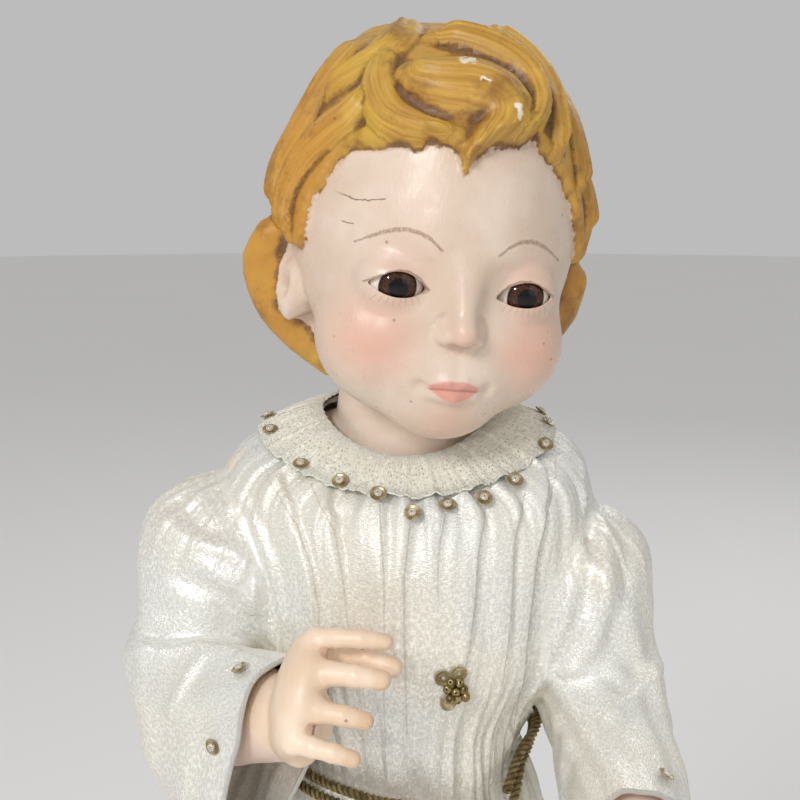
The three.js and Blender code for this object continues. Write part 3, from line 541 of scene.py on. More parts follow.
# %% The face and the head
def to_face(p):
    m = p * [1, 1, 1]
    m[:, 0] = np.abs(m[:, 0])
    side, front, level = EYE_SIDE, EYE_FRONT, EYE_LEVEL
    d = melt(to_egg(p, [0, 4, 7], [32, 42.5, 37]), to_egg(p, [0, 3, -1], [36, 40, 26]), 6)
    d = melt(d, to_egg(p, [0, -9, -15], [30, 29.5, 28]), 10)
    d = melt(d, to_egg(p, [0, -16, -32], [25.5, 20, 16]), 8)
    d = melt(d, to_egg(m, [14.5, -24, -27], [14.5, 12, 12.5]), 8)
    d = melt(d, to_egg(p, [0, -29.5, -42], [10.5, 7, 7]), 8)
    d = melt(d, to_egg(p, [0, -32, -33], [11.5, 8.2, 8]), 6)
    d = carve(d, to_egg(m, [side + 0.5, -43, level + 1], [10, 5.5, 6.5]), 5)
    d = melt(d, to_egg(m, [side, front, level], [EYE_RADIUS + LID] * 3), 1.5)
    d = carve(d, to_rod(m, [8.5, -39.2, level + 5.2], [21, -36.2, level + 5.4], 0.25, 0.2), 2.2)
    d = melt(d, to_rod(p, [0, -37.5, -8], [0, -41.5, -20.5], 2, 2.6), 5)
    d = melt(d, to_egg(p, [0, -42.4, -22], [3, 3, 2.8]), 2)
    d = melt(d, to_egg(m, [3.5, -39.8, -23.2], [2.1, 2.7, 2]), 2)
    d = carve(d, to_egg(m, [2.1, -41.6, -25.6], [1.1, 1.5, 1.2]), 0.8)
    d = carve(d, to_rod(p, [0, -41.2, -27], [0, -41.4, -31], 0.9, 1.3), 1.6)
    d = melt(d, to_rod(m, [1.5, -40.0, -33.5], [6.6, -38.0, -35.0], 1.7, 0.7), 1.4)
    d = melt(d, to_rod(m, [0, -39.5, -37], [4.4, -38.3, -36.6], 2.1, 1.2), 1.4)
    d = carve(d, to_rod(m, [0, -42.0, -35.1], [7.4, -38.9, -35.3], 0.5, 0.35), 0.9)
    d = carve(d, to_egg(m, [8.3, -39.4, -35.2], [1.3, 1.6, 1.2]), 1.8)
    return carve(d, to_rod(m, [0, -41.3, -40.4], [4.5, -39.8, -40], 1.0, 0.6), 2.4)


def to_head(p, hair):
    m = np.abs(p) * [1, 0, 0] + p * [0, 1, 1]
    ear = to_egg(m, [32.5, -1, -21], [4, 5, 8])
    ear = carve(ear, to_egg(m, [37, -3.4, -19.5], [3, 2.6, 4.4]), 1.2)
    d = melt(to_face(p) - hair, ear, 2)
    return melt(d, to_curls(p), 1.5)


def to_curls(p):
    steps = [step for curl in CURLS for step in zip(curl, curl[1:])]
    return np.min([to_rod(p, a[:3], b[:3], a[3], b[3]) for a, b in steps], axis=0)


def head_reach(towards):
    hair = hair_height(towards)
    reach = np.full(len(towards), 75.0)
    for _ in range(45):
        reach -= 0.85 * to_head(towards * reach[:, None], hair)
    return reach


# %% The ball of points, moved out to the carved surface
FACE_FIRST = [0, -0.34, -0.06]  # draws the points together on the face, which needs the most detail
STRETCHED = 1.7  # an edge longer than this, in millimetres, spans the gap behind a curl

bm = bmesh.new()
bmesh.ops.create_icosphere(bm, subdivisions=7, radius=1)
head_mesh = mesh_from(bm, "carved_head")
towards = unit(points_of(head_mesh) * MM + FACE_FIRST)
local = towards * head_reach(towards)[:, None]
move_points(head_mesh, local @ HEAD_PLACE[:3, :3].T + HEAD_PLACE[:3, 3])
bm = opened(head_mesh)
stretched = list({vert for edge in bm.edges if edge.calc_length() > STRETCHED * MM for vert in edge.verts})
smoothed(bm, stretched, 12)
head_mesh = mesh_from(bm, "carved_head")
print("smoothed behind the curls:", len(stretched), "points")
print("head spans", np.ptp(points_of(head_mesh), axis=0).round(1), "mm")

# %% [markdown]
# The eyes are glass, let into sockets from inside the mask of the face, so the lids are cut open with an
# almond-shaped cutter and the socket is hollowed with a ball a little larger than the eye. Blender's solid
# cutting keeps the rims of the lids sharp, as a knife would leave them.

# %% Cutting the lids and the sockets
GAP = 0.3
LID_OPENING = [[-6.9, -0.9], [-4.6, 1.3], [-1.5, 2.75], [1.6, 2.75], [4.4, 1.3], [6.5, -0.2],
               [4.2, -1.7], [1.0, -2.6], [-2.6, -2.6], [-5.2, -1.8]]


def to_world(points):
    return np.asarray(points, dtype=float) @ HEAD_PLACE[:3, :3].T + HEAD_PLACE[:3, 3]


def to_local(points):
    return points @ HEAD_PLACE_BACK[:3, :3].T + HEAD_PLACE_BACK[:3, 3]


def lid_cutter(side):
    """An almond, drawn in front of the eyeball and pushed through the lid."""
    outline = closed_line(np.array([[x, 0, z] for x, z in LID_OPENING]), 60) * [side, 1, 1]
    bm = bmesh.new()
    front, back = [
        [bm.verts.new(to_world(p * [grow, 1, grow] + [side * EYE_SIDE, y, EYE_LEVEL]) * MM) for p in outline]
        for y, grow in ((EYE_FRONT - 13, 1.12), (EYE_FRONT - 2, 0.96))
    ]
    bm.faces.new(front)
    bm.faces.new(back)
    edges = [bm.edges.get((ring[i - 1], ring[i])) for ring in (front, back) for i in range(len(ring))]
    bmesh.ops.bridge_loops(bm, edges=edges)
    bmesh.ops.recalc_face_normals(bm, faces=bm.faces)
    return mesh_from(bm, "lid_cutter")


# %% Balls, and solids that cut each other
def eye_centre(side):
    return to_world([side * EYE_SIDE, EYE_FRONT, EYE_LEVEL])


def ball(centre, radius, name, segments=48):
    bm = bmesh.new()
    bmesh.ops.create_uvsphere(bm, u_segments=segments, v_segments=segments // 2, radius=radius * MM)
    bmesh.ops.translate(bm, verts=bm.verts, vec=Vector(centre) * MM)
    return mesh_from(bm, name)


def boolean(mesh, others, operation):
    """Cuts or joins closed solids; the others are used up."""
    made = in_scene("work", mesh)
    tools = []
    for other in others:
        tool = in_scene("tool", other)
        tools.append(tool)
        modifier = made.modifiers.new("cut", "BOOLEAN")
        modifier.operation, modifier.object, modifier.solver = operation, tool, "MANIFOLD"
    done = baked(made)
    for tool in tools:
        bpy.data.objects.remove(tool)
    return done


def baked(made):
    """The mesh of a work object with its modifiers applied; the work object goes."""
    graph = bpy.context.evaluated_depsgraph_get()
    graph.update()
    done = bpy.data.meshes.new_from_object(made.evaluated_get(graph))
    done.name = made.data.name
    bpy.data.objects.remove(made)
    return done


sockets = [ball(eye_centre(side), EYE_RADIUS * HEAD + GAP, "socket") for side in (-1, 1)]
head_mesh = boolean(head_mesh, [*sockets, lid_cutter(-1), lid_cutter(1)], "DIFFERENCE")
print("head after cutting:", len(head_mesh.polygons), "faces")

# %% [markdown]
# The neck rises from the body, which is a plain carved block under the clothes. Both are tubes of rings: a
# ring is an ellipse at a share of the figure's height, let down a little at the front. The head and the neck
# are one piece of wood, so their solids are joined.

# %% Rings of the body
def ring(height, wide, deep, middle=0.0, drop=0.0, rise=0.0):
    """An ellipse in percent of the figure: height, half-widths, middle, and how far it hangs and rises."""
    return np.array([height, wide, deep, middle, drop, rise], dtype=float)


def in_mm(r, out=0.0, up=0.0):
    return r * BODY + [SOLES + up, out, out, 0, 0, 0]


def ring_at(rings, share):
    """The rings at given shares of the way down, with smooth changes between them."""
    rings = np.asarray(rings)
    at = np.clip(share, 0, 1) * (len(rings) - 1)
    i = np.minimum(at.astype(int), len(rings) - 2)
    t = (at - i)[:, None]
    return curve(*[rings[np.clip(i + k, 0, len(rings) - 1)] for k in (-1, 0, 1, 2)], t)


def ring_point(r, angle, lift=0.0):
    """Points of rings at angles, lifted outwards."""
    height, wide, deep, middle, drop, rise = r.T
    c, s = np.cos(angle), np.sin(angle)
    hang = np.where(s < 0, -drop * np.abs(s) ** 1.5, rise * np.abs(s) ** 1.5)
    return np.stack([(wide + lift) * c, middle + (deep + lift) * s, height + hang], axis=1)


# %% The body's rings, from the neck down
NECK = ring(99.4, 5.3, 5.4, 0.6, 2.4, 0.6)
NECKLINE = ring(98.9, 7.0, 6.2, 0.5, 2.8, 0.5)
COLLAR_EDGE = ring(98.0, 8.9, 7.2, 0.3, 3.2, 0.3)
SHOULDERS = ring(96.5, 11.2, 7.8, 0, 2.6)
ARMPITS = ring(94.0, 12.0, 8.0, 0, 1.2)
CHEST = ring(89.6, 11.0, 8.0)
RIBS = ring(82.8, 9.4, 7.4)
WAIST = ring(75.6, 7.2, 6.4)
TORSO = [in_mm(r) for r in (
    ring(106, 4.9, 5.0, 0.9), NECK, COLLAR_EDGE, SHOULDERS, ARMPITS, CHEST, RIBS, WAIST,
    ring(68.5, 8.6, 7.6), ring(60, 9.4, 7.8), ring(52, 8.8, 7.0))]


def tube(name, columns, rows, point_at, capped=True):
    """A tube of rings from a grid: point_at gets the angle and the share of the length of each point."""
    bm = bmesh.new()
    bm.loops.layers.uv.new("UVMap")
    bmesh.ops.create_grid(bm, x_segments=columns, y_segments=rows, size=0.5, calc_uvs=True)
    co = np.array([v.co[:2] for v in bm.verts]) + 0.5
    points = point_at(co[:, 0] * 2 * np.pi - np.pi, 1 - co[:, 1]) * MM
    for vert, point in zip(bm.verts, points):
        vert.co = point
    bmesh.ops.remove_doubles(bm, verts=bm.verts, dist=1e-7)
    if capped:
        bmesh.ops.holes_fill(bm, edges=[e for e in bm.edges if e.is_boundary])
    bmesh.ops.recalc_face_normals(bm, faces=bm.faces)
    return mesh_from(bm, name)


def neck_point(angle, share):
    top = [ring(108, 5.0, 5.4, 0.9), ring(103, 4.75, 5.0, 0.9), ring(100.4, 4.95, 5.2, 0.7), NECK, NECKLINE,
           ring(97.6, 6.6, 5.4, 0.4, 2.8, 0.3)]
    return ring_point(ring_at([in_mm(r) for r in top], share), angle)


neck_mesh = tube("neck", 96, 40, neck_point)
head_mesh = boolean(head_mesh, [neck_mesh], "UNION")
print("head with neck:", len(head_mesh.polygons), "faces")

# %% What the finish needs to know at each point of the head
HAIRLINE_SPOTS = direction(np.linspace(-180, 180, 721), through(HAIRLINE, np.linspace(-180, 180, 721)))


def past_hairline(towards):
    """Degrees from the hairline, positive in the hair."""
    nearest = np.concatenate([(part @ HAIRLINE_SPOTS.T).max(axis=1) for part in np.array_split(towards, 40)])
    return np.sign(above_hairline(towards)) * np.arccos(np.clip(nearest, -1, 1)) / DEGREE


head_local = to_local(points_of(head_mesh))
middle_out = unit(head_local)
edge = past_hairline(middle_out)
relief, across, along, lock_number = locks_on(middle_out).T
curl_gap = to_curls(head_local)
neck_part = head_local[:, 2] < -52
in_hair = np.where(neck_part, -6, np.maximum(edge, (1.1 - curl_gap) * 4))
store(head_mesh, "hair", np.clip(in_hair, -6, 6))
store(head_mesh, "strand", across * 3 + lock_number * 7)
store(head_mesh, "run", along * 4)
store(head_mesh, "sunk", hollows(head_mesh, 6, 0.35))
side, level = np.abs(head_local[:, 0]), head_local[:, 2]
bow = -35.1 + 2.5 * (1 - np.clip(side / 6.9, 0, 1) ** 1.7) - 0.5 * np.exp(-((side / 1.0) ** 2))
under = -35.1 - 3.0 * (1 - np.clip(side / 5.9, 0, 1) ** 2.2)
inside = np.min([bow - level, level - under, 6.9 - side, -30 - head_local[:, 1]], axis=0)
store(head_mesh, "lips", np.clip(inside, -2, 2))
store(head_mesh, "parting", np.clip(level + 35.15 + 0.012 * side**2, -2, 2))
print("hair covers", f"{np.mean(in_hair > 0):.0%} of the head's points")

# %% [markdown]
# Oil paint on gesso: the flesh was laid on thin and polished to a soft gloss, with rose rubbed into the
# cheeks, chin and lids, and thin brown lines for the brows and lashes. The hair is ochre over brown, rubbed
# by hand at the high places and painted brown in the grooves, for dirt and for shade; a faint brown of the
# same kind lies in every hollow of the head. Age has left a long crack beside the brow, small white chips
# down to the gesso, and fine dark specks. All of it is drawn in the head's own axes.

# %% The painted finish of head and neck: flesh
paint, tree, shader, here = finish("painted_head")
face = put(tree, "Mapping", {"Vector": here, "Location": HEAD_SPOT * MM, "Rotation": HEAD_TURN,
                             "Scale": [HEAD * MM] * 3}, vector_type="TEXTURE").outputs[0]
face_x, face_y, face_z = put(tree, "SeparateXYZ", {0: face}).outputs
flat = put(tree, "CombineXYZ", {0: maths(tree, "ABSOLUTE", face_x), 2: face_z}).outputs[0]
flat_whole = put(tree, "CombineXYZ", {0: face_x, 2: face_z}).outputs[0]
in_front = between(tree, face_y, -20, -26)

FLESH, PALE, ROSE = colour(213, 190, 170), colour(224, 205, 188), colour(222, 146, 124)
broad = noise(tree, face, 0.05, 3.0, 0.6)
skin = mixed(tree, between(tree, broad, 0.35, 0.7), FLESH, PALE)
for centre, reach, amount in (
    ((19, 0, -26), 14, 0.42), ((15, 0, -10), 10, 0.18), ((0, 0, -44), 9, 0.22), ((0, 0, -23), 6, 0.25),
):
    distance = put(tree, "VectorMath", {0: flat, 1: centre}, operation="DISTANCE").outputs[1]
    soft = times(tree, between(tree, distance, reach, reach * 0.15), amount)
    skin = mixed(tree, times(tree, soft, in_front), skin, ROSE)

wobble = noise(tree, face, 0.5, 4.0, 0.6)
lip_edge = plus(tree, attribute(tree, "lips"), times(tree, wobble, 0.3))
lip_mask = between(tree, lip_edge, -0.1, 0.7, 0.0, 0.7)
parting = maths(tree, "ABSOLUTE", attribute(tree, "parting"))
parted = times(tree, between(tree, parting, 0.45, 0.1), between(tree, attribute(tree, "lips"), -0.6, 0.0))
skin = mixed(tree, lip_mask, skin, colour(218, 130, 116))
skin = stained(tree, skin, parted, 0.5, colour(150, 74, 64))

# %% Brows, lids and lashes are strokes of a thin brush
def arc(start, end, rise, count, width, taper):
    """Short strokes along an arch between two points of the face, thinner towards its ends."""
    share = np.linspace(0, 1, count + 1)
    side = start[0] + (end[0] - start[0]) * share
    level = start[1] + (end[1] - start[1]) * share + rise * np.sin(np.pi * share**0.85)
    spots = [(float(x), 0.0, float(z)) for x, z in zip(side, level)]
    widths = width * (1 - taper * np.abs(2 * (share[1:] + share[:-1]) / 2 - 0.9) ** 2)
    return list(zip(spots, spots[1:], map(float, widths)))


BROW = arc((6.6, -4.4), (24.2, -5.2), 4.0, 7, 0.72, 0.6)
UPPER_LID = arc((8.0, -13.5), (22.4, -13.2), 3.7, 6, 0.42, 0.3)
LASHES = [((x, 0, -16.0 + 0.03 * (x - 15) ** 2), (x + 0.2 * (x - 15), 0, -17.6 + 0.03 * (x - 15) ** 2), 0.14)
          for x in (10.5, 11.8, 13.1, 14.4, 15.7, 17.0, 18.3, 19.6)]
shake = put(tree, "TexNoise", {"Vector": face, "Scale": 0.8, "Detail": 3.0}).outputs["Color"]
shake = vector_maths(tree, "SUBTRACT", shake, (0.5, 0.5, 0.5))


def brushed(lines, vector, shaken):
    """One mask for several strokes, shaken a little so that they look drawn by hand."""
    moved = vector_maths(tree, "ADD", vector, vector_maths(tree, "MULTIPLY", shake, (shaken, 0, shaken)))
    return times(tree, strokes(tree, moved, lines), in_front)


BROWN = colour(120, 84, 58)
streaks = between(tree, noise(tree, placed(tree, face, (3.5, 1, 1.2)), 1.0, 3.0), 0.3, 0.6, 0.45, 1.0)
skin = stained(tree, skin, times(tree, brushed(BROW, flat, 0.4), streaks), 0.62, BROWN)
skin = stained(tree, skin, brushed(UPPER_LID, flat, 0.3), 0.6, BROWN)
skin = stained(tree, skin, brushed(LASHES, flat, 0.3), 0.3, BROWN)

# %% The hair's paint, and its edge on the forehead
OCHRE, GOLD, UMBER, DIRT_AND_SHADE = colour(176, 128, 46), colour(202, 158, 70), colour(130, 86, 34), colour(88, 62, 34)
run = put(tree, "CombineXYZ", {0: attribute(tree, "strand"), 1: attribute(tree, "run")}).outputs[0]
streak = noise(tree, placed(tree, run, (2.6, 0.5, 1)), 1.0, 5.0, 0.6)
hair = mixed(tree, between(tree, streak, 0.35, 0.65), OCHRE, GOLD)
yellowed = between(tree, noise(tree, face, 0.07, 3.0, 0.5, 0.5), 0.48, 0.68, 0.0, 0.5)
at_sides = between(tree, maths(tree, "ABSOLUTE", face_x), 24, 36, 0.0, 0.4)
browned = between(tree, noise(tree, face, 0.09, 5.0, 0.65), 0.47, 0.68, 0.0, 0.7)
hair = mixed(tree, yellowed, hair, colour(208, 170, 62))
hair = mixed(tree, at_sides, hair, colour(196, 128, 42))
hair = mixed(tree, browned, hair, UMBER)
# Dirt and painted shade: the grooves of the hair are stained umber, and a darker brown where they are deep.
deep = attribute(tree, "sunk")
soiled_and_shaded = grime_and_shade_mask(tree, face, deep, 0.16, 0.62)
hair = stained(tree, hair, soiled_and_shaded, 0.85, UMBER)
caked_and_shaded = grime_and_shade_mask(tree, placed(tree, face, (1, 1, 1.3)), deep, 0.6, 0.3)
hair = stained(tree, hair, caked_and_shaded, 0.8, DIRT_AND_SHADE)
uneven = times(tree, minus(tree, noise(tree, face, 0.55, 5.0, 0.65), 0.5), 3.4)
ragged = plus(tree, attribute(tree, "hair"), uneven)
is_hair = between(tree, ragged, -0.35, 0.35)
wash = times(tree, between(tree, ragged, -1.4, 0.2), 0.28)
skin = mixed(tree, wash, skin, OCHRE)
coat = mixed(tree, is_hair, skin, hair)

# %% Age: cracks, chips, specks, and the gloss of each paint
# Strokes like those of the brush. The ends of the long crack and the places of the chips were worked out from
# the photograph by a scratch program.
CRACKS = [((-31, 0, 4.4), (-28.2, 0, 4.9), 0.12), ((-28.2, 0, 4.9), (-24.9, 0, 4.0), 0.18),
          ((-24.9, 0, 4.0), (-22, 0, 4.3), 0.18), ((-22, 0, 4.3), (-19.2, 0, 5.0), 0.13),
          ((-28.4, 0, 4.9), (-28.6, 0, 6.6), 0.1), ((-27.0, 0, -1.4), (-24.8, 0, -1.3), 0.12)]
crack = brushed(CRACKS, flat_whole, 0.9)
coat = stained(tree, coat, crack, 0.75, colour(120, 94, 76))
CHIPS = [((6.6, 0, 28.4), (6.9, 0, 26.4), 1.1), ((-5.4, 0, 36.6), (-2.2, 0, 37.2), 0.8),
         ((-1.2, 0, 33.4), (0.4, 0, 33.0), 0.6)]
chipped = brushed(CHIPS, flat_whole, 1.8)
coat = stained(tree, coat, chipped, 0.9, colour(236, 228, 208))
specks = specked(tree, face, 0.33, 0.08)
coat = stained(tree, coat, specks, 0.5, colour(92, 66, 50))
# Dirt and painted shade: a faint brown over every hollow of the head, the face's too.
stain_and_shade = grime_and_shade_mask(tree, face, deep, 0.12, 0.16)
coat = stained(tree, coat, stain_and_shade, 0.3, colour(170, 132, 104))

rough = between(tree, noise(tree, face, 0.3, 4.0, 0.6), 0.3, 0.7, 0.26, 0.4)
rough = plus(tree, rough, times(tree, is_hair, 0.1))
rough = plus(tree, rough, times(tree, chipped, 0.3), clamped=True)
brush_marks = noise(tree, placed(tree, face, (1, 1, 0.35)), 1.1, 4.0, 0.6)
height = times(tree, brush_marks, 0.35)
height = plus(tree, height, times(tree, times(tree, streak, is_hair), 0.8))
height = minus(tree, height, times(tree, crack, 0.8))
height = minus(tree, height, times(tree, chipped, 0.6))
coated(tree, shader, coat, rough, bump(tree, height, 0.00018))
piece("carved_head_and_neck", head_mesh, paint, "carved_figure")

# %% [markdown]
# A glass eye of this kind is a ball of milky glass with the iris and pupil set under a clear front. Rings
# round the way the eye looks give all of it: the distance of a point from that line says which it is.

# %% The glass eyes
GAZE = Vector((0.02, -1, -0.1)).normalized()
IRIS, PUPIL = 0.58, 0.30


def eye_finish(side):
    made, tree, shader, here = finish(f"glass_of_the_eye_{side}", Roughness=0.05, IOR=1.42)
    centre = Vector(eye_centre(side)) * MM
    gaze = Vector(HEAD_PLACE[:3, :3] @ np.array(GAZE)).normalized()
    radius = EYE_RADIUS * HEAD * MM
    off = vector_maths(tree, "SUBTRACT", here, centre)
    ahead = vector_maths(tree, "DOT_PRODUCT", off, gaze, 1)
    away = put(tree, "VectorMath", {0: off}, operation="LENGTH").outputs[1]
    across = maths(tree, "SQRT", minus(tree, times(tree, away, away), times(tree, ahead, ahead)))
    share = maths(tree, "DIVIDE", across, radius)
    share = plus(tree, share, times(tree, maths(tree, "LESS_THAN", ahead, 0.0), 2.0))
    spokes = noise(tree, placed(tree, off, (2600, 2600, 2600)), 1.0, 4.0)
    white = mixed(tree, between(tree, share, 0.75, 1.0), colour(232, 222, 210), colour(206, 168, 150))
    iris = mixed(tree, between(tree, spokes, 0.35, 0.65), colour(44, 24, 14), colour(84, 50, 28))
    iris = mixed(tree, between(tree, share, IRIS * 0.8, IRIS), iris, colour(24, 14, 10))
    body = mixed(tree, between(tree, share, IRIS + 0.03, IRIS - 0.02), white, iris)
    body = mixed(tree, between(tree, share, PUPIL + 0.03, PUPIL - 0.02), body, colour(8, 6, 6))
    coated(tree, shader, body, between(tree, spokes, 0.2, 0.8, 0.04, 0.12))
    return made


for side, name in ((-1, "right"), (1, "left")):
    mesh = ball(eye_centre(side), EYE_RADIUS * HEAD, f"eye_{name}", 64)
    piece(f"eye_of_glass_{name}", mesh, eye_finish(side), f"glass_eye_{name}")

# %% [markdown]
# The hands were carved by the same maker and painted the same flesh colour. Each is a palm, a heel and five
# tapering fingers that melt together. The rough union of balls and cones is turned into an even skin by
# Blender's voxel remesh, and every point of the skin is then drawn onto the carved surface, so that the
# webs between the fingers come out round.

# %% Arms and hands: the measures
HAND = 0.26
HAND_VOXEL, BODY_VOXEL = 0.55, 1.6  # the grain of the even skins, in millimetres
ARMS = [
    {"shoulder": [-10.0, 0.3, 94.8], "elbow": [-17.8, -2.2, 79.8], "wrist": [-7.4, -12.4, 83.0],
     "cuff": -0.05},
    {"shoulder": [9.2, 0.3, 93.4], "elbow": [14.6, -1.0, 79.2], "wrist": [14.4, -16.2, 75.4],
     "cuff": -0.12},
]
FINGERS = [(48, 54, 8.8, 0), (20, 58, 10.4, -4), (-9, 50, 9.4, 2), (-36, 46, 8.6, 6)]
PALM_START = 58
HANDS = [
    {"name": "right", "arm": ARMS[0], "ahead": [0.2, -0.85, 0.49], "thumb_side": [0.2, 0.45, 0.87],
     "mirrored": 1, "bend": (52, 16, 0.6), "thumb": [[16, 8, 30], [34, 22, 42], [48, 44, 42], [52, 64, 38]]},
    {"name": "left", "arm": ARMS[1], "ahead": [-0.1, -1, 0.06], "thumb_side": [1, -0.1, 0.25],
     "mirrored": -1, "bend": (8, 16, 1.0), "thumb": [[16, 8, 34], [34, 16, 50], [58, 26, 54], [80, 32, 46]]},
]


def on_body(point):
    return np.array([0, 0, SOLES]) + np.array(point) * BODY


def hand_axes(hand):
    """The hand's own axes: along the palm, out of the palm, and to the thumb."""
    x = np.array(hand["ahead"], dtype=float)
    x /= np.linalg.norm(x)
    z = np.array(hand["thumb_side"], dtype=float)
    z -= x * (z @ x)
    z /= np.linalg.norm(z)
    return np.stack([x, np.cross(z, x) * hand["mirrored"], z]) * HAND


def hand_rods(hand):
    """Every bone of a hand as a rod: two ends and two radii, in percent of the hand's width."""
    first, more, fan = hand["bend"]
    rods = []
    for level, length, radius, curl in FINGERS:
        at = np.array([PALM_START, 2, level * 0.94], dtype=float)
        for joint in range(3):
            turn = (first + more * joint + curl) * DEGREE
            step = np.array([length / 3 * math.cos(turn), length / 3 * math.sin(turn), 0.06 * level * fan])
            thick = 0.96 * radius * (1 - 0.06 * joint)
            rods.append((at, at + step, thick, thick * 0.88))
            at = at + step
        knuckle = np.array([PALM_START, 2, level * 0.94])
        rods.append((np.array([22, -1, level * 0.8]), knuckle, radius, radius))
    thumb = np.array(hand["thumb"], dtype=float)
    rods += [(a, b, 10 - 0.5 * i, 9.5 - 0.5 * i) for i, (a, b) in enumerate(zip(thumb, thumb[1:]))]
    return rods


# %% The carved surface of a hand, and the line of an arm
def to_hand(p, hand):
    """How far points in the hand's own axes are outside it."""
    d = melt(to_egg(p, [36, 0, 4], [42, 20, 48]), to_egg(p, [14, 12, -26], [20, 16, 20]), 14)
    d = melt(d, to_egg(p, [26, 12, 30], [24, 13, 16]), 10)
    fingers = None
    for start, end, a, b in hand_rods(hand):
        rod = to_rod(p, start, end, a, b)
        fingers = rod if fingers is None else melt(fingers, rod, 2.4)
    return melt(d, fingers, 9)


ELBOW_BEND = 0.26  # how far from the elbow, as a share of each bone, the arm starts to bend


def arm_line(arm):
    shoulder, elbow, wrist = (on_body(arm[joint]) for joint in ("shoulder", "elbow", "wrist"))
    return np.array([
        shoulder, shoulder + 0.5 * (elbow - shoulder), elbow + ELBOW_BEND * (shoulder - elbow),
        elbow + ELBOW_BEND * (wrist - elbow), elbow + 0.6 * (wrist - elbow), elbow + 1.0 * (wrist - elbow)])


# %% Skins of balls and rods
def rough_rods(rods):
    """A closed rough mesh: a ball at every end and a cone along every rod, in millimetres."""
    bm = bmesh.new()
    for start, end, a, b in rods:
        start, end = Vector(start), Vector(end)
        turn = (end - start).to_track_quat("Z", "Y").to_matrix().to_4x4()
        middle = Matrix.Translation((start + end) / 2 * MM) @ turn
        bmesh.ops.create_cone(bm, cap_ends=True, segments=20, radius1=a * MM, radius2=b * MM,
                              depth=(end - start).length * MM, matrix=middle)
        for spot, radius in ((start, a), (end, b)):
            bmesh.ops.create_uvsphere(bm, u_segments=20, v_segments=12, radius=radius * MM,
                                      matrix=Matrix.Translation(spot * MM))
    return bm


def skinned(bm, name, voxel):
    """An even skin over closed forms that overlap."""
    made = in_scene(name, mesh_from(bm, name))
    modifier = made.modifiers.new("skin", "REMESH")
    modifier.mode, modifier.voxel_size = "VOXEL", voxel * MM
    return baked(made)


def draw_onto(points, distance, rounds=8):
    """Moves points to where a distance is nought, along its own slope."""
    for _ in range(rounds):
        d = distance(points)
        slope = np.stack([distance(points + step) - d for step in np.eye(3) * 0.05], axis=1) / 0.05
        steep = np.maximum((slope**2).sum(axis=1), 0.2)[:, None]
        points = points - np.clip(d, -2, 2)[:, None] * slope / steep
    return points


# %% A hand
PALM_RODS = [([20, 0, -20], [56, 0, -20], 20), ([20, 0, 24], [56, 0, 26], 20),
             ([14, 12, -26], [30, 8, 0], 16)]
PALM_EGGS = [([34, 0, 4], [40, 18, 46]), ([14, 12, -26], [20, 16, 20]), ([26, 12, 30], [24, 13, 16])]


def hand_mesh(hand):
    """Palm, fingers and forearm in one even skin, drawn onto the carved surface."""
    axes, wrist = hand_axes(hand), on_body(hand["arm"]["wrist"])
    rods = [(wrist + a @ axes, wrist + b @ axes, ra * HAND, rb * HAND) for a, b, ra, rb in hand_rods(hand)]
    palm = [(wrist + np.array(c) @ axes, wrist + np.array(e) @ axes, r * HAND, r * HAND)
            for c, e, r in PALM_RODS]
    line = arm_line(hand["arm"])
    low = np.array([0, 0, -1.1 * BODY])
    forearm = [(line[4] + low, line[5] + 0.7 * low, 3.2 * BODY, 2.7 * BODY),
               (line[3], line[4] + low, 3.0 * BODY, 3.2 * BODY), (line[4], line[5], 2.5 * BODY, 2.1 * BODY)]
    bm = rough_rods(rods + palm + forearm)
    for centre, radii in PALM_EGGS:
        place = np.eye(4)
        place[:3, :3] = (axes * np.array(radii)[:, None]).T * MM
        place[:3, 3] = (wrist + np.array(centre) @ axes) * MM
        bmesh.ops.create_uvsphere(bm, u_segments=32, v_segments=20, radius=1, matrix=Matrix(place))
    mesh = skinned(bm, f"hand_{hand['name']}", HAND_VOXEL)
    back = np.linalg.inv(axes)

    def distance(p):
        d = to_hand((p - wrist) @ back, hand) * HAND
        for start, end, a, b in forearm:
            d = melt(d, to_rod(p, start, end, a, b), 1.2)
        return d

    move_points(mesh, draw_onto(points_of(mesh), distance))
    bm = opened(mesh)
    smoothed(bm, bm.verts, 4)
    mesh = mesh_from(bm, mesh.name)
    move_points(mesh, draw_onto(points_of(mesh), distance, 2))
    local = (points_of(mesh) - wrist) @ back
    tips = [hand_rods(hand)[4 * i + 2][1] for i in range(4)]
    tips.append(np.array(hand["thumb"][-1], dtype=float))
    near = np.min([np.linalg.norm(local - tip, axis=1) for tip in tips], axis=0)
    store(mesh, "tip", soft_step(16, 6, near))
    store(mesh, "arm", soft_step(2, -2, local[:, 0] + 0.1 * local[:, 2]))
    store(mesh, "sunk", hollows(mesh, 5, 0.3))
    return mesh


hand_meshes = [hand_mesh(hand) for hand in HANDS]
print("points on each hand:", [len(mesh.vertices) for mesh in hand_meshes])

# %% The painted finish of the hands, and the hands themselves
flesh, tree, shader, here = finish("painted_hands")
deep, tip, arm_share = attribute(tree, "sunk"), attribute(tree, "tip"), attribute(tree, "arm")
broad = between(tree, noise(tree, here, 90, 3.0), 0.35, 0.7)
skin = mixed(tree, broad, colour(231, 203, 175), colour(241, 218, 194))
skin = mixed(tree, arm_share, skin, colour(235, 208, 192))
rubbed = between(tree, plus(tree, tip, times(tree, noise(tree, here, 420, 5.0), 0.9)), 0.75, 1.7)
skin = stained(tree, skin, rubbed, 0.5, colour(206, 166, 124))
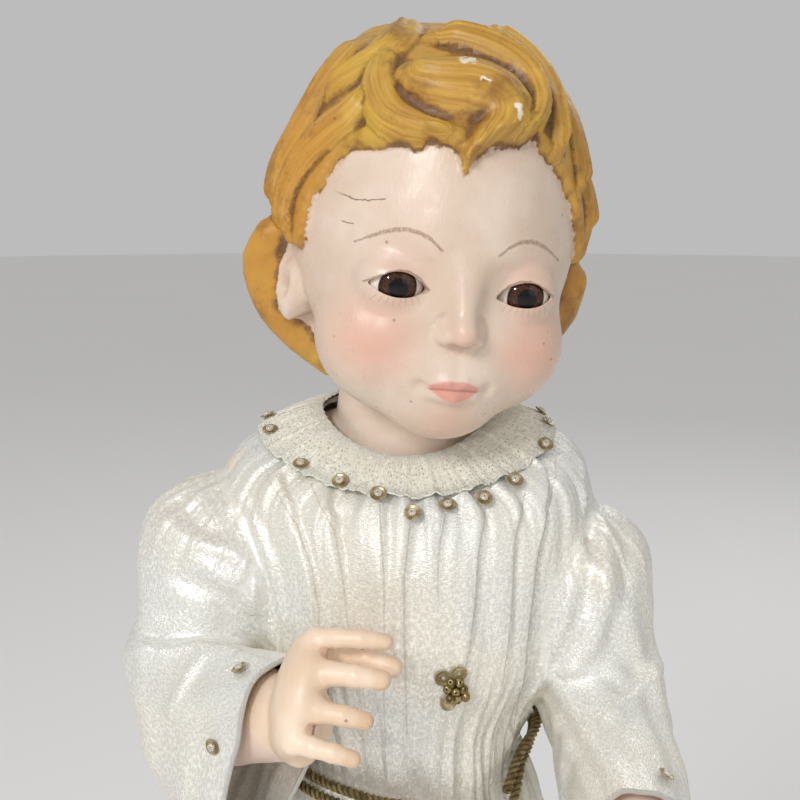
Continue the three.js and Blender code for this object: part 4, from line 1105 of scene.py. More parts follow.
# Dirt and painted shade: a darker brown in the hollows of the hands, between the fingers and at the joints.
soiled_and_shaded = grime_and_shade_mask(tree, here, deep, 160, 0.34)
skin = stained(tree, skin, soiled_and_shaded, 0.5, colour(184, 140, 104))
specks = specked(tree, here, 330, 0.14)
skin = stained(tree, skin, specks, 0.6, colour(80, 56, 42))
rough = between(tree, noise(tree, here, 260, 4.0), 0.3, 0.7, 0.3, 0.46)
coated(tree, shader, skin, rough, bump(tree, noise(tree, here, 900, 4.0), 0.00008))
for hand, mesh in zip(HANDS, hand_meshes):
    piece(f"carved_hand_{hand['name']}", mesh, flesh, "carved_figure")

# %% [markdown]
# Under the gown the figure goes on as a plain painted block: a body, upper arms, legs and low shoes. It is
# seen only from below and past the hem, so its skin is coarser.

# %% The body under the clothes
body_rods = []
thick = [3.2, 3.15, 3.05, 2.9]
for arm in ARMS:
    line = arm_line(arm)
    body_rods += [(a, b, r * BODY, s * BODY) for a, b, r, s in zip(line[:3], line[1:4], thick, thick[1:])]
LEG = [([4.6, 0.4, 58], 4.5), ([4.9, 0.2, 38], 3.5), ([5.1, -0.2, 28], 3.6), ([5.2, 0.8, 16], 3.1),
       ([5.2, 1.2, 2.8], 2.4)]
FOOT = [([5.1, 2.4, 2.6], 2.3), ([5.3, -1.5, 2.8], 2.7), ([6.0, -7.0, 2.3], 2.7), ([6.5, -11.2, 1.9], 2.1)]
for side in (-1, 1):
    for line in (LEG, FOOT):
        spots = [(on_body(np.array(p) * [side, 1, 1]), r * BODY) for p, r in line]
        body_rods += [(a, b, r, s) for (a, r), (b, s) in zip(spots, spots[1:])]
bm = rough_rods(body_rods)
bm.from_mesh(tube("torso", 32, 28, lambda angle, share: ring_point(ring_at(TORSO[2:], share), angle)))
body_mesh = skinned(bm, "body", BODY_VOXEL)
spots = points_of(body_mesh)
spots[:, 2] = np.maximum(spots[:, 2], SOLES)
move_points(body_mesh, spots)

# %% The paint of the body and the shoes
body_paint, tree, shader, here = finish("painted_body_and_shoes")
level = put(tree, "SeparateXYZ", {0: here}).outputs[2]
cloudy = noise(tree, here, 60, 4.0)
shoe = between(tree, plus(tree, level, times(tree, cloudy, 0.001)), 0.0425, 0.0415)
stocking = mixed(tree, cloudy, colour(232, 224, 208), colour(214, 200, 176))
worn = between(tree, noise(tree, here, 500, 4.0), 0.35, 0.7)
leather = mixed(tree, worn, colour(150, 112, 52), colour(190, 150, 82))
coated(tree, shader, mixed(tree, shoe, stocking, leather), between(tree, cloudy, 0.3, 0.7, 0.36, 0.5),
       bump(tree, noise(tree, here, 700, 4.0), 0.0001))
piece("carved_body_and_shoes", body_mesh, body_paint, "carved_figure")

# %% [markdown]
# The figure stands on a plain pale floor. A large soft light stands high at the front left, a weaker one
# fills the shadows from the right, one behind lifts the edges, and the pale world does the rest. A small
# light near the camera draws the sharp highlights that satin and glass eyes show.

# %% Floor, lights and world
bm = bmesh.new()
bmesh.ops.create_circle(bm, cap_ends=True, segments=96, radius=6)
floor = in_scene("floor", mesh_from(bm, "floor"))
pale, tree, shader, here = finish("pale_floor", Roughness=0.8)
coated(tree, shader, mixed(tree, noise(tree, here, 3.0), colour(243, 242, 240), colour(240, 239, 237)))
floor.data.materials.append(pale)

# %% The lights
LIT = Vector((0, 0, 0.34))  # the lights point here, at the chin
for name, spot, size, power in (
    ("key", (-0.5, -0.95, 0.95), 0.34, 7.0),
    ("small", (-0.16, -0.85, 0.56), 0.05, 1.0),
    ("fill", (1.1, -0.8, 0.5), 0.9, 1.2),
    ("back", (0.5, 1.0, 1.1), 0.8, 3.0),
):
    lamp = in_scene(name, bpy.data.lights.new(name, "AREA"))
    lamp.data.shape, lamp.data.size, lamp.data.energy = "DISK", size, power
    lamp.location = spot
    lamp.rotation_euler = (LIT - Vector(spot)).to_track_quat("-Z", "Y").to_euler()

# %% The world
world = bpy.data.worlds.new("pale_world")
world.use_nodes = True
background = world.node_tree.nodes["Background"].inputs
background["Color"].default_value = colour(247, 247, 247)
background["Strength"].default_value = 0.54
bpy.context.scene.world = world
bpy.context.scene.view_settings.view_transform = "Standard"
print("lights:", [light.name for light in bpy.data.lights])

# %% [markdown]
# The gown is thin satin, sewn by hand: pleated under the collar, drawn in by the cord, with two full sleeves
# set into it. Real cloth takes up its spare width in folds, so the folds are modelled, not simulated: knife
# pleats down the chest, fine gathers at the cord, and deep soft folds in the skirt. Chest and sleeves are one
# skin, so that their seams melt as sewn cloth does. The skirt is a tube of its own, tucked under the cord,
# with its hem turned in.

# %% The gown's rings and folds
CLOTH, EASE = 1.6, 3.2
HEM = np.array([39.0, 74, 64, 0, 0, 0])
GOWN_WAIST = in_mm(WAIST, CLOTH + 0.6 * EASE)
SKIRT = []
for i in range(5):
    down = ((i + 1) / 5) ** 1.15
    spring = down**0.74
    SKIRT.append(GOWN_WAIST + (HEM - GOWN_WAIST) * [down, spring, spring, 1, 1, 1])
GOWN = [
    in_mm(NECKLINE, GAP, CLOTH + 2 * GAP), in_mm(COLLAR_EDGE, CLOTH, CLOTH + 0.3 * EASE),
    in_mm(SHOULDERS, CLOTH + 0.4 * EASE, CLOTH + 0.2 * EASE), in_mm(ARMPITS, CLOTH + 0.7 * EASE, 0.3 * EASE),
    in_mm(CHEST, CLOTH + 1.15 * EASE), in_mm(RIBS, CLOTH + 1.2 * EASE), GOWN_WAIST, *SKIRT]
WAIST_SHARE = 6 / 11
CORD_SAG = [[-180, 1], [-135, -2.4], [-82, -4.8], [-58, -9.8], [-42, -8.2], [-22, 0.4], [0, 3], [90, 3.6],
            [180, 1]]

# %% The pleats down the chest
# Each pleat: the angle in degrees at heights in millimetres, then its depth there. Most angles and heights
# were worked out from the photograph by a scratch program; the depths were chosen.
PLEATS = [
    [(-141, 334, 0.8), (-128, 329, 1.1), (-122, 322, 1.4), (-119.5, 313, 1.4), (-119.5, 306, 1.2),
     (-121, 299, 0.8)],
    [(-122, 333, 1.0), (-113, 327, 1.3), (-111, 320, 1.2), (-110, 309, 0.6), (-110, 300, 0.2)],
    [(-99, 330, 1.1), (-97.5, 323, 1.1), (-98, 315, 1.0), (-98, 306, 0.9), (-99, 293, 0.7), (-100, 277, 0.4)],
    [(-90, 328, 1.1), (-91, 321, 1.2), (-92, 315, 1.3), (-92, 300, 1.1), (-91, 279, 0.4)],
    [(-80, 328, 0.9), (-82, 322, 0.6), (-82, 312, 0.1)],
    [(-67, 330, 1.0), (-70, 323, 1.1), (-70, 315, 1.2), (-70, 302, 0.9), (-72, 290, 0.4)],
    [(-52, 332, 1.0), (-58, 324, 1.1), (-58, 316, 1.1), (-56, 302, 0.9), (-55, 290, 0.4)],
    [(-33, 336, 1.2), (-46, 328, 1.5), (-49, 316, 1.6), (-47, 297, 1.4), (-40, 280, 1.0), (-33, 272, 0.5)],
]


# %% How pleats, gathers and skirt folds stand out
def cord_height(angle):
    return GOWN_WAIST[0] + through(CORD_SAG, np.arctan2(np.sin(angle), np.cos(angle)) / DEGREE)


def wander(x, seed, angle=0.0, waves=0):
    """A smooth, uneven wave of about one millimetre, with whole waves round a closed ring."""
    phases = np.random.default_rng(seed).uniform(0, 2 * np.pi, 4)
    steps = zip((1.0, 1.73, 2.91, 4.37), phases)
    return sum(np.sin(x * k + round(waves * k) * angle + p) / k**0.5 for k, p in steps) / 1.6


def pleat_height(angle, height, around):
    """Knife pleats: the cloth rises slowly towards a line and drops behind it."""
    total = np.zeros(len(angle))
    for pleat in PLEATS:
        at, level, depth = np.array(pleat, dtype=float)[::-1].T
        line = np.interp(height, level, at) * DEGREE
        size = np.interp(height, level, depth) * soft_step(level[0] - 12, level[0] + 2, height)
        x = (angle - line) * around
        total += size * np.where(x < 0, 0.8 * np.exp(-((x / 3.0) ** 2)), 0.8 * np.exp(-((x / 0.5) ** 2)))
        total -= size * 0.5 * np.exp(-(((x - 1.2) / 0.7) ** 2))
    return total


def gathers(angle, height):
    """Fine gathers: close ones under the collar, loose ones down the chest, and a frill at the cord."""
    near = (height - cord_height(angle)) / 9
    fine = wander(0.25 * np.sin(height * 0.12), 5, angle, 17) + 0.6 * wander(height * 0.02, 6, angle, 37)
    total = fine * (0.5 * np.exp(-((near / 2.4) ** 2)) + 0.16) * (1 - 0.6 * np.exp(-((near * 4) ** 2)))
    total += 0.32 * wander(0, 9, angle, 30) * soft_step(312, 332, height)
    total += 1.3 * np.exp(-(((near - 1.0) / 0.75) ** 2)) + 1.1 * np.exp(-(((near + 1.0) / 0.75) ** 2))
    return total - 0.9 * np.exp(-(near**2)) + 0.35 * wander(height * 0.05, 8, angle, 7)


def skirt_folds(angle, share):
    depth = through([[0, 0], [0.25, 0.3], [WAIST_SHARE, 0.4], [WAIST_SHARE + 0.12, 2.4], [1, 6.0]], share)
    total = depth * np.cos(8 * (angle + 0.02 * np.sin(3 * angle + 1)) + 0.6)
    falling = soft_step(WAIST_SHARE + 0.02, WAIST_SHARE + 0.2, share)
    total += falling * 2.1 * wander(0.6 * np.sin(2 * angle) + share * 1.5, 3, angle, 5)
    return total + falling * 0.9 * wander(2 * share, 4, angle, 13)


# %% The skirt
TURNED, SKIRT_LENGTH = 7, 236


def hemmed(t, length):
    """Share of the length and lift for a tube whose last few millimetres are turned in."""
    whole = length + TURNED
    gone = t * whole
    inside = gone > length
    share = np.where(inside, (2 * length - gone) / length, gone / length)
    return np.clip(share, 0, 1), np.where(inside, -0.9 * soft_step(0, 0.7, gone - length), 0.0)


def skirt_point(angle, t):
    spread, lift = hemmed(t, SKIRT_LENGTH)
    share = WAIST_SHARE - 0.02 + (1.02 - WAIST_SHARE) * spread
    rings = ring_at(GOWN, share)
    height = ring_point(rings, angle)[:, 2]
    tucked = -1.6 * soft_step(-1.5, 1.5, height - cord_height(angle))
    return ring_point(rings, angle, lift + tucked + skirt_folds(angle, share) + gathers(angle, height))


skirt_mesh = tube("skirt", 380, 150, skirt_point, capped=False)
print("skirt:", len(skirt_mesh.polygons), "faces")

# %% The sleeves
SLEEVE_WIDTH = [[0, 4.0], [0.22, 6.4], [0.5, 4.6], [0.75, 4.1], [1, 3.8]]
SLEEVE_DROP = [[0, 0], [0.5, 0.4], [1, 0.8]]
SLEEVE_DEEP = [[0, 1], [0.3, 1.1], [0.5, 1.6], [0.75, 2.3], [1, 2.8]]
SLANT_OVER, SLANT_UNDER = 0.1, 0.5
SLEEVE_STEPS = 240


def sleeve_line(arm):
    """A sleeve's own line: it cuts the corner at the elbow, as cloth does."""
    shoulder, elbow, wrist = (on_body(arm[joint]) for joint in ("shoulder", "elbow", "wrist"))
    bend = elbow + 0.13 * (shoulder - elbow) + 0.13 * (wrist - elbow)
    cuff = elbow + (1 + arm["cuff"]) * (wrist - elbow)
    through_arm = [shoulder, shoulder + 0.48 * (elbow - shoulder), bend, elbow + 0.55 * (cuff - elbow), cuff]
    return smooth_line(through_arm, SLEEVE_STEPS + 1)


def line_frames(line):
    """The way a line runs at each of its points, and two directions across it that don't twist."""
    ahead = unit(np.gradient(line, axis=0))
    across = [np.cross(ahead[0], [0, 0, 1.0])]
    for way in ahead[1:]:
        across.append(across[-1] - way * (across[-1] @ way))
    across = unit(np.array(across))
    return ahead, across, np.cross(ahead, across)


# %% The folds of the sleeves
# Each drawn fold: how far it stands out, its reach, and the spots that it runs through, in millimetres. About
# half of the spots were worked out from the photograph by a scratch program and rounded.
FOLDS = [
    (0.9, 1.1, [(-39, -9, 330), (-34.5, -16, 327), (-31.5, -20.5, 320.5), (-29.5, -21.5, 316),
                (-27, -22, 304), (-26, -20, 293)]),
    (-1.0, 1.8, [(-36, -10, 331), (-31, -18, 325), (-27, -22, 316), (-24.5, -22.5, 304)]),
    (-1.3, 3.2, [(-52, -9, 327), (-49, -13, 325), (-44, -19.5, 319.5)]),
    (1.5, 2.4, [(-55, -8, 322), (-44.5, -19.5, 319.5), (-37, -21.5, 317.5), (-33.5, -20.5, 312),
                (-32, -19, 303)]),
    (1.2, 2.0, [(-48, -19, 317), (-40, -21.5, 312.5), (-33, -19.5, 306), (-29.5, -18, 295.5)]),
    (-1.4, 2.4, [(-52, -18, 313), (-42, -22, 308), (-36, -21, 300)]),
    (1.4, 2.2, [(-62, -12, 293), (-56.5, -20.5, 295.5), (-44.5, -24.5, 297), (-35.5, -29, 298)]),
    (-1.2, 1.6, [(-60, -13, 297.5), (-52, -22, 299), (-42, -24, 300.5), (-34, -24, 299)]),
    (1.0, 1.8, [(-52, -31, 283), (-49, -31.5, 289.5), (-45.5, -28.5, 294.5), (-41, -27, 297)]),
    (1.1, 1.3, [(39, -3, 334), (39, -8, 331.5), (38.5, -13, 321.5), (35, -20, 303.5), (32, -18.5, 295),
                (26, -9.5, 273.5)]),
    (-1.2, 2.0, [(41, -10, 325), (40, -19, 311), (36, -20, 300)]),
    (1.5, 2.4, [(45, -5, 329), (43.5, -10, 320.5), (43.5, -19, 311), (41.5, -19.5, 298), (34, -18, 288)]),
    (-1.2, 2.6, [(50, -4, 326), (50, -14, 314), (47, -20, 300), (42, -24, 291)]),
    (1.4, 2.4, [(60, -8, 292), (56.5, -12.5, 288), (51, -22, 286.5), (39, -31, 282.5)]),
    (-1.3, 2.2, [(60, -8, 298), (54, -17, 292), (45, -24, 288)]),
]


def drawn_folds(points):
    """How far the drawn folds move points out along the cloth's own normals."""
    total = np.zeros(len(points))
    for out, reach, spots in FOLDS:
        near = np.flatnonzero(np.linalg.norm(points - np.mean(spots, axis=0), axis=1) < 40)
        line = smooth_line(spots, 36)
        gaps = [np.linalg.norm(points[near] - spot, axis=1) for spot in line]
        gap, share = np.min(gaps, axis=0), np.argmin(gaps, axis=0) / (len(line) - 1)
        ends = np.sqrt(np.clip(1 - (2 * share - 1) ** 4, 0, 1))
        total[near] += out * ends * np.exp(-((gap / reach) ** 2))
    return total


def sleeve_fold(number, angle, share):
    """Soft folds round the sleeve at the elbow's crook, and gathers at the shoulder."""
    crook = np.cos(angle - (0.6 if number == 0 else 2.4))
    rings = wander(15 * share + 1.6 * np.sin(angle + number) + 0.5 * np.sin(2 * angle), 11 + number)
    total = 1.1 * rings * soft_step(0.2, 0.5, share) * soft_step(1.05, 0.7, share) * (0.6 + 0.4 * crook)
    total += 0.8 * wander(4 * share + 0.8 * np.sin(angle), 13 + number, angle, 2)
    fine = wander(2 * np.sin(angle) * share, 15 + number, angle, 14)
    return total + 0.4 * fine * soft_step(0.36, 0.1, share)


# %% The plain forms under the cloth
SLEEVE_PAST = 1.08  # the form runs on past the cuff by this share, and is cut back there
SHOULDER_DOME = 0.13  # the share of a sleeve that is the dome inside the shoulder
CHEST_SHARE = 0.585  # the share of the gown's rings that the top takes


def sleeve_form(arm):
    """A sleeve's plain form, from a dome inside the shoulder to a little past the cuff."""
    line = sleeve_line(arm)
    line = np.vstack([line, *[line[-1] + (line[-1] - line[-2]) * k for k in range(1, 25)]])
    ahead, across, upward = line_frames(line)

    def point_at(angle, t):
        share = t * SLEEVE_PAST
        at = share * SLEEVE_STEPS
        axes = [np.stack([np.interp(at, np.arange(len(line)), v[:, k]) for k in range(3)], axis=1)
                for v in (line, ahead, across, upward)]
        way = axes[2] * np.cos(angle)[:, None] + axes[3] * np.sin(angle)[:, None]
        round_dome = np.sqrt(np.clip(1 - (1 - share / SHOULDER_DOME) ** 2, 0, 1))
        dome = np.where(share < SHOULDER_DOME, round_dome, 1)
        off = way * (BODY * through(SLEEVE_WIDTH, share) * dome)[:, None]
        off[:, 2] *= 1 + (through(SLEEVE_DEEP, share) - 1) * soft_step(2, -6, off[:, 2])
        slant = SLANT_UNDER + (SLANT_OVER - SLANT_UNDER) * soft_step(-6, 6, off[:, 2])
        slant *= soft_step(0.5, 1, share)
        point = axes[0] + off + axes[1] * (slant * off[:, 2])[:, None]
        point[:, 2] -= BODY * through(SLEEVE_DROP, share)
        return point

    return point_at


def chest_form(angle, t):
    return ring_point(ring_at(GOWN, CHEST_SHARE * t), angle)


SLEEVE_FORMS = [sleeve_form(arm) for arm in ARMS]
form_meshes = [tube("chest_form", 160, 110, chest_form, capped=False)]
form_meshes += [tube("sleeve_form", 120, 100, form, capped=False) for form in SLEEVE_FORMS]
print("plain forms under the cloth:", len(form_meshes))

# %% One skin over the chest and both sleeves
CLOTH_VOXEL = 0.72
bm = bmesh.new()
for mesh in form_meshes:
    bm.from_mesh(mesh)
bmesh.ops.holes_fill(bm, edges=[e for e in bm.edges if e.is_boundary])
top_mesh = skinned(bm, "gown_top", CLOTH_VOXEL)
bm = opened(top_mesh)
smoothed(bm, bm.verts, 48)
top_mesh = mesh_from(bm, "gown_top")
print("top of the gown:", len(top_mesh.polygons), "faces")


def places_on(points, mesh):
    """For each point: its distance from a form, and its place round and along that form."""
    quads = [p for p in mesh.polygons if len(p.vertices) == 4]
    layer = mesh.uv_layers.active.data
    corners = np.array([[mesh.vertices[i].co[:] for i in p.vertices] for p in quads])
    uvs = np.array([[layer[i].uv[:] for i in p.loop_indices] for p in quads])
    middle, uv_middle = corners.mean(axis=1), uvs.mean(axis=1)
    slope = np.linalg.pinv(corners - middle[:, None], rcond=1e-3) @ (uvs - uv_middle[:, None])
    tree = BVHTree.FromPolygons([v.co[:] for v in mesh.vertices], [p.vertices[:] for p in quads])
    found = [tree.find_nearest(Vector(p) * MM) for p in points]
    at = np.array([f[2] for f in found])
    spots = np.array([f[0][:] for f in found])
    uv = uv_middle[at] + ((spots - middle[at])[:, None] @ slope[at])[:, 0]
    uv = np.clip(uv, uvs.min(axis=1)[at], uvs.max(axis=1)[at])
    return np.array([f[3] for f in found]) / MM, uv[:, 0], 1 - uv[:, 1]


# %% Which form each point of the cloth lies on
SEAM_SOFT = 1.2  # the folds of chest and sleeve fade into each other over this much, in millimetres

top_points, normals = points_of(top_mesh), normals_of(top_mesh)
height = top_points[:, 2]
(chest_gap, chest_round, chest_along), *sleeves = [places_on(top_points, mesh) for mesh in form_meshes]
is_left = sleeves[0][0] >= sleeves[1][0]
sleeve_gap, sleeve_round, sleeve_along = [np.where(is_left, left, right) for right, left in zip(*sleeves)]
on_sleeve = soft_step(-SEAM_SOFT, SEAM_SOFT, chest_gap - sleeve_gap)
angle_round = np.arctan2(top_points[:, 1] / 0.8, top_points[:, 0])
chest_angle = np.where(chest_gap < 3, chest_round * 2 * np.pi - np.pi, angle_round)
print(f"{np.mean(on_sleeve > 0.5):.0%} of the cloth's points lie on a sleeve")

# %% How far pleats, gathers and folds move each point
CHEST_RADIUS = 27.0
COLLAR_COVERS = (348, 338)  # pleats and gathers fade out under the collar, between these heights

lift = (gathers(chest_angle, height) + pleat_height(chest_angle, height, CHEST_RADIUS)) * (1 - on_sleeve)
lift *= soft_step(*COLLAR_COVERS, height)
for number in (0, 1):
    folds = sleeve_fold(number, sleeve_round * 2 * np.pi - np.pi, sleeve_along * SLEEVE_PAST)
    lift += np.where(is_left == (number == 1), folds * on_sleeve, 0)
seam_gap = np.maximum(chest_gap, sleeve_gap)
lift += 0.25 * np.exp(-(((seam_gap - 0.4) / 0.9) ** 2)) + drawn_folds(top_points)
print(f"the cloth moves by {lift.min():.1f} to {lift.max():.1f} mm")

# %% The cloth's own map, and the joins where it jumps
SLEEVE_ROUND, SLEEVE_LONG, SLEEVE_FROM = 0.52, 0.72, 0.1  # a sleeve's share of the map, and where it starts
JUMP = 0.03

u = np.where(on_sleeve > 0.5, sleeve_round * SLEEVE_ROUND, chest_round)
v = np.where(on_sleeve > 0.5, sleeve_along * SLEEVE_LONG + SLEEVE_FROM, chest_along)
pairs = edges_of(top_mesh)
step_u, step_v = (np.abs(along[pairs[:, 0]] - along[pairs[:, 1]]) for along in (u, v))
joins = np.unique(pairs[(np.minimum(step_u, 1 - step_u) > JUMP) | (step_v > JUMP)])
seam = np.zeros(len(u))
seam[joins] = 1
for _ in range(2):
    np.maximum.at(seam, pairs[:, 0], 0.6 * seam[pairs[:, 1]])
    np.maximum.at(seam, pairs[:, 1], 0.6 * seam[pairs[:, 0]])
store(top_mesh, "seam", seam)
print("points on the joins:", len(joins))


def lay_map(bm, u, v):
    """Gives every corner its place; a face across the start of u gets a whole turn more on its low side."""
    layer = bm.loops.layers.uv.new("UVMap")
    for face in bm.faces:
        furthest = max(u[vert.index] for vert in face.verts)
        for loop in face.loops:
            i = loop.vert.index
            wrap = 1 if furthest - u[i] > 0.4 and u[i] < 0.4 else 0
            loop[layer].uv = (u[i] + wrap, v[i])


# %% What is cut away: past the cuffs, inside the neck, and below the cord
NECK_FROM, NECK_EDGE = 333, 0.6
FLOOR_OF_FORM = 252.5  # below this lies the flat end of the chest's form
UNDER_CORD = 1.2

past_cuff = (on_sleeve > 0.5) & (sleeve_along * SLEEVE_PAST > 1)
neck_wide, neck_deep, neck_middle = GOWN[0][1] - NECK_EDGE, GOWN[0][2] - NECK_EDGE, GOWN[0][3]
across, front = top_points[:, 0], top_points[:, 1]
inside_neck = (height > NECK_FROM) & (np.hypot(across / neck_wide, (front - neck_middle) / neck_deep) < 1)
below_cord = (on_sleeve < 0.5) & (height < cord_height(chest_angle) - UNDER_CORD)
below_cord &= (chest_gap < 2.5) & (np.abs(across) < 36)
below_cord |= (height < FLOOR_OF_FORM) & (np.hypot(across, front * 1.1) < 30)
gone = past_cuff | inside_neck | below_cord
print("points cut away:", np.count_nonzero(gone))

# %% The folded top
bm = opened(top_mesh)
lay_map(bm, u, v)
bm.verts.ensure_lookup_table()
for vert, moved in zip(bm.verts, top_points + normals * lift[:, None]):
    vert.co = moved * MM
smoothed(bm, [bm.verts[i] for i in np.nonzero(seam > 0.3)[0]], 8)
bmesh.ops.delete(bm, geom=[bm.verts[i] for i in np.nonzero(gone)[0]], context="VERTS")
top_mesh = mesh_from(bm, "gown_top")
print("top of the gown after its openings:", len(top_mesh.polygons), "faces")

# %% [markdown]
# Satin shows long warp threads, so it is bright along them and grainy across, with a pearly tint that goes
# from rose to blue. The glint of the high threads is painted into the colour as a fine highlight, and the
# valleys of the folds are painted a little darker, as shade. The pattern is laid out in the cloth's own flat
# millimetres, by the mesh's UV map, so it runs along the cut of the cloth and bends with the folds.

# %% The satin
def mixed_values(tree, share, a, b):
    return plus(tree, times(tree, a, minus(tree, 1.0, share)), times(tree, share, b))


def flat_strokes(tree, here, lines):
    """One mask for thin strokes over the front, between spots given in millimetres."""
    x, y, z = put(tree, "SeparateXYZ", {0: placed(tree, here, (1000, 1000, 1000))}).outputs
    flat = put(tree, "CombineXYZ", {0: x, 2: z}).outputs[0]
    return times(tree, strokes(tree, flat, lines), between(tree, y, 0, -4))


def gown_ring(height):
    """The gown's rings at heights, without their hang."""
    levels = np.array([r[0] for r in GOWN])
    sizes = [np.interp(-height, -levels, [r[k] for r in GOWN]) for k in range(3)]
    return np.stack([*sizes, *[np.zeros(len(height))] * 3], axis=1)


PLEAT_STROKES = 4


def pleat_shade_strokes():
    """The pressed edge of each pleat, as strokes between spots on the gown: a line of painted shade and a
    shallow dent.
    """
    lines = []
    for pleat in PLEATS:
        at, level = np.array(pleat, dtype=float)[::-1, :2].T
        height = np.linspace(level[0] - 1, level[-1], PLEAT_STROKES + 1)
        angle = (np.interp(height, level, at) + 1.0) * DEGREE
        rings = gown_ring(height)
        rings[:, 0] = height
        spots = ring_point(rings, angle) * [1, 0, 1]
        widths = 0.3 * np.sin(np.pi * (np.arange(PLEAT_STROKES) + 1) / (PLEAT_STROKES + 1)) ** 0.5
        lines += [(tuple(a), tuple(b), float(w)) for a, b, w in zip(spots, spots[1:], widths)]
    return lines


# %% Satin as a finish, and cloth as a piece
def satin_finish(name, width, length, lines=()):
    """Satin of a given flat width and length, with painted shade and a dent along every pressed edge."""
    made, tree, shader, here = finish(
        name, Metallic=0.3, Sheen_Weight=0.2, Sheen_Roughness=0.3, IOR=1.5, Anisotropic=0.45)
    shader.inputs["Sheen Tint"].default_value = colour(255, 246, 236)
    tangent = put(tree, "Tangent", direction_type="UV_MAP", uv_map="UVMap").outputs[0]
    tree.links.new(tangent, shader.inputs["Tangent"])
    uv = put(tree, "UVMap", uv_map="UVMap").outputs[0]
    flat = placed(tree, uv, (width, length, 1))
    warp = noise(tree, placed(tree, flat, (2.0, 1.2, 1)), 1.0, 2.0, 0.6)
    slant = {"Vector": flat, "Rotation": (0, 0, 0.6), "Scale": (1.2, 3.0, 1)}
    slanted = put(tree, "Mapping", slant).outputs[0]
    twill = noise(tree, slanted, 1.0, 2.0, 0.5)
    grain_and_glint = plus(tree, times(tree, warp, 0.6), times(tree, twill, 0.4))
    tint = noise(tree, here, 38, 2.0)
    hue = noise(tree, here, 24, 2.0, 0.5, 0.6)
    base = mixed(tree, between(tree, tint, 0.38, 0.62), colour(224, 219, 206), colour(218, 218, 214))
    base = mixed(tree, between(tree, hue, 0.52, 0.72, 0.0, 0.4), base, colour(226, 209, 192))
    # Painted highlight: the high threads of the weave are painted near white, as the glint of satin.
    base = mixed(tree, between(tree, grain_and_glint, 0.43, 0.61, 0.0, 0.9), base, colour(250, 248, 239))
    # Painted shade, with some dirt: the valleys of the folds and pleats are painted a darker, warmer white.
    soiled_and_shaded = grime_and_shade_mask(tree, here, attribute(tree, "sunk"), 90, 0.25)
    base = stained(tree, base, soiled_and_shaded, 0.35, colour(204, 184, 162))
    # Painted shade: a thin darker line along each pleat's pressed edge, where the fold shadows the cloth; the
    # same mask dents the bump.
    edges = flat_strokes(tree, here, lines) if lines else 0.0
    if lines:
        base = stained(tree, base, edges, 0.35, colour(178, 164, 148))
    crumple = noise(tree, here, 240, 4.0, 0.55)
    height = plus(tree, grain_and_glint, times(tree, crumple, 0.8))
    height = minus(tree, height, times(tree, edges, 0.2))
    if lines:
        height = mixed_values(tree, between(tree, attribute(tree, "seam"), 0.05, 0.6), height, 0.5)
    rough = between(tree, grain_and_glint, 0.38, 0.62, 0.44, 0.25)
    coated(tree, shader, base, rough, bump(tree, height, 0.00028))
    return made


def cloth_piece(name, mesh, material, flat, node):
    """A gathered sheet of cloth with its flat size in metres."""
    store(mesh, "sunk", hollows(mesh, 8, 0.6))
    made = piece(name, mesh, material, node)
    surface = sum(p.area for p in mesh.polygons)
    print(f"  surface {surface * 1e4:.0f} cm2, flat {flat[0] * flat[1] * 1e4:.0f} cm2")


# %% The gown's two pieces
TOP_FLAT, SKIRT_FLAT = (0.33, 0.10), (0.40, 0.24)
top_satin = satin_finish("satin_of_the_top", 200, 95, pleat_shade_strokes())
skirt_satin = satin_finish("satin_of_the_skirt", 360, 240)
cloth_piece("satin_gown_top", top_mesh, top_satin, TOP_FLAT, "satin_gown")
cloth_piece("satin_gown_skirt", skirt_mesh, skirt_satin, SKIRT_FLAT, "satin_gown")

# %% A piped edge round each cuff
PIPING_RADIUS, PIPING_STEPS, CUFF_POINTS = 0.55, 240, 73

for number, side in ((0, "right"), (1, "left")):
    turns = np.linspace(-np.pi, np.pi, CUFF_POINTS)
    edge_line = SLEEVE_FORMS[number](turns, np.full(CUFF_POINTS, 1 / SLEEVE_PAST))
    folds = sleeve_fold(number, turns, np.ones(CUFF_POINTS))
    edge_line = edge_line + unit(edge_line - edge_line[:-1].mean(axis=0)) * folds[:, None]
    centre = closed_line(edge_line[:-1], PIPING_STEPS)
    ahead = unit(np.roll(centre, -1, axis=0) - np.roll(centre, 1, axis=0))
    way = centre - centre.mean(axis=0)
    way = unit(way - ahead * (way * ahead).sum(axis=1, keepdims=True))
    cross = np.cross(ahead, way)

    def edge_point(angle, t):
        i = np.minimum((t * PIPING_STEPS).round().astype(int), PIPING_STEPS) % PIPING_STEPS
        off = way[i] * np.cos(angle)[:, None] + cross[i] * np.sin(angle)[:, None]
        return centre[i] + PIPING_RADIUS * off

    piping_mesh = tube("piping", 10, PIPING_STEPS, edge_point, capped=False)
    piece(f"piped_cuff_edge_{side}", piping_mesh, skirt_satin, "satin_gown")

# %% [markdown]
# The trimmings are sewn on: a crocheted collar over the gathered neck, sequins each held by a bead, a
# rosette of gilt beads on the chest, and a gold cord twisted from strands and tied at the front.

# %% The crocheted collar
LACE = 1.2
OVER_GOWN = 0.6
COLLAR = [in_mm(NECK, 2, CLOTH), GOWN[0] + [GAP + OVER_GOWN, 0, 0, 0, 0, 0],
          GOWN[1] + [GAP + OVER_GOWN, OVER_GOWN, OVER_GOWN, 0, 0, 0],
          (GOWN[1] * 0.7 + GOWN[2] * 0.3) + [GAP + 1.5 * OVER_GOWN, 2 * OVER_GOWN, 2 * OVER_GOWN, 0, 0, 0]]
STITCH = 1.05
SCALLOPS, KNOTS_ROUND, COLLAR_DEPTH = 52, 114, 17


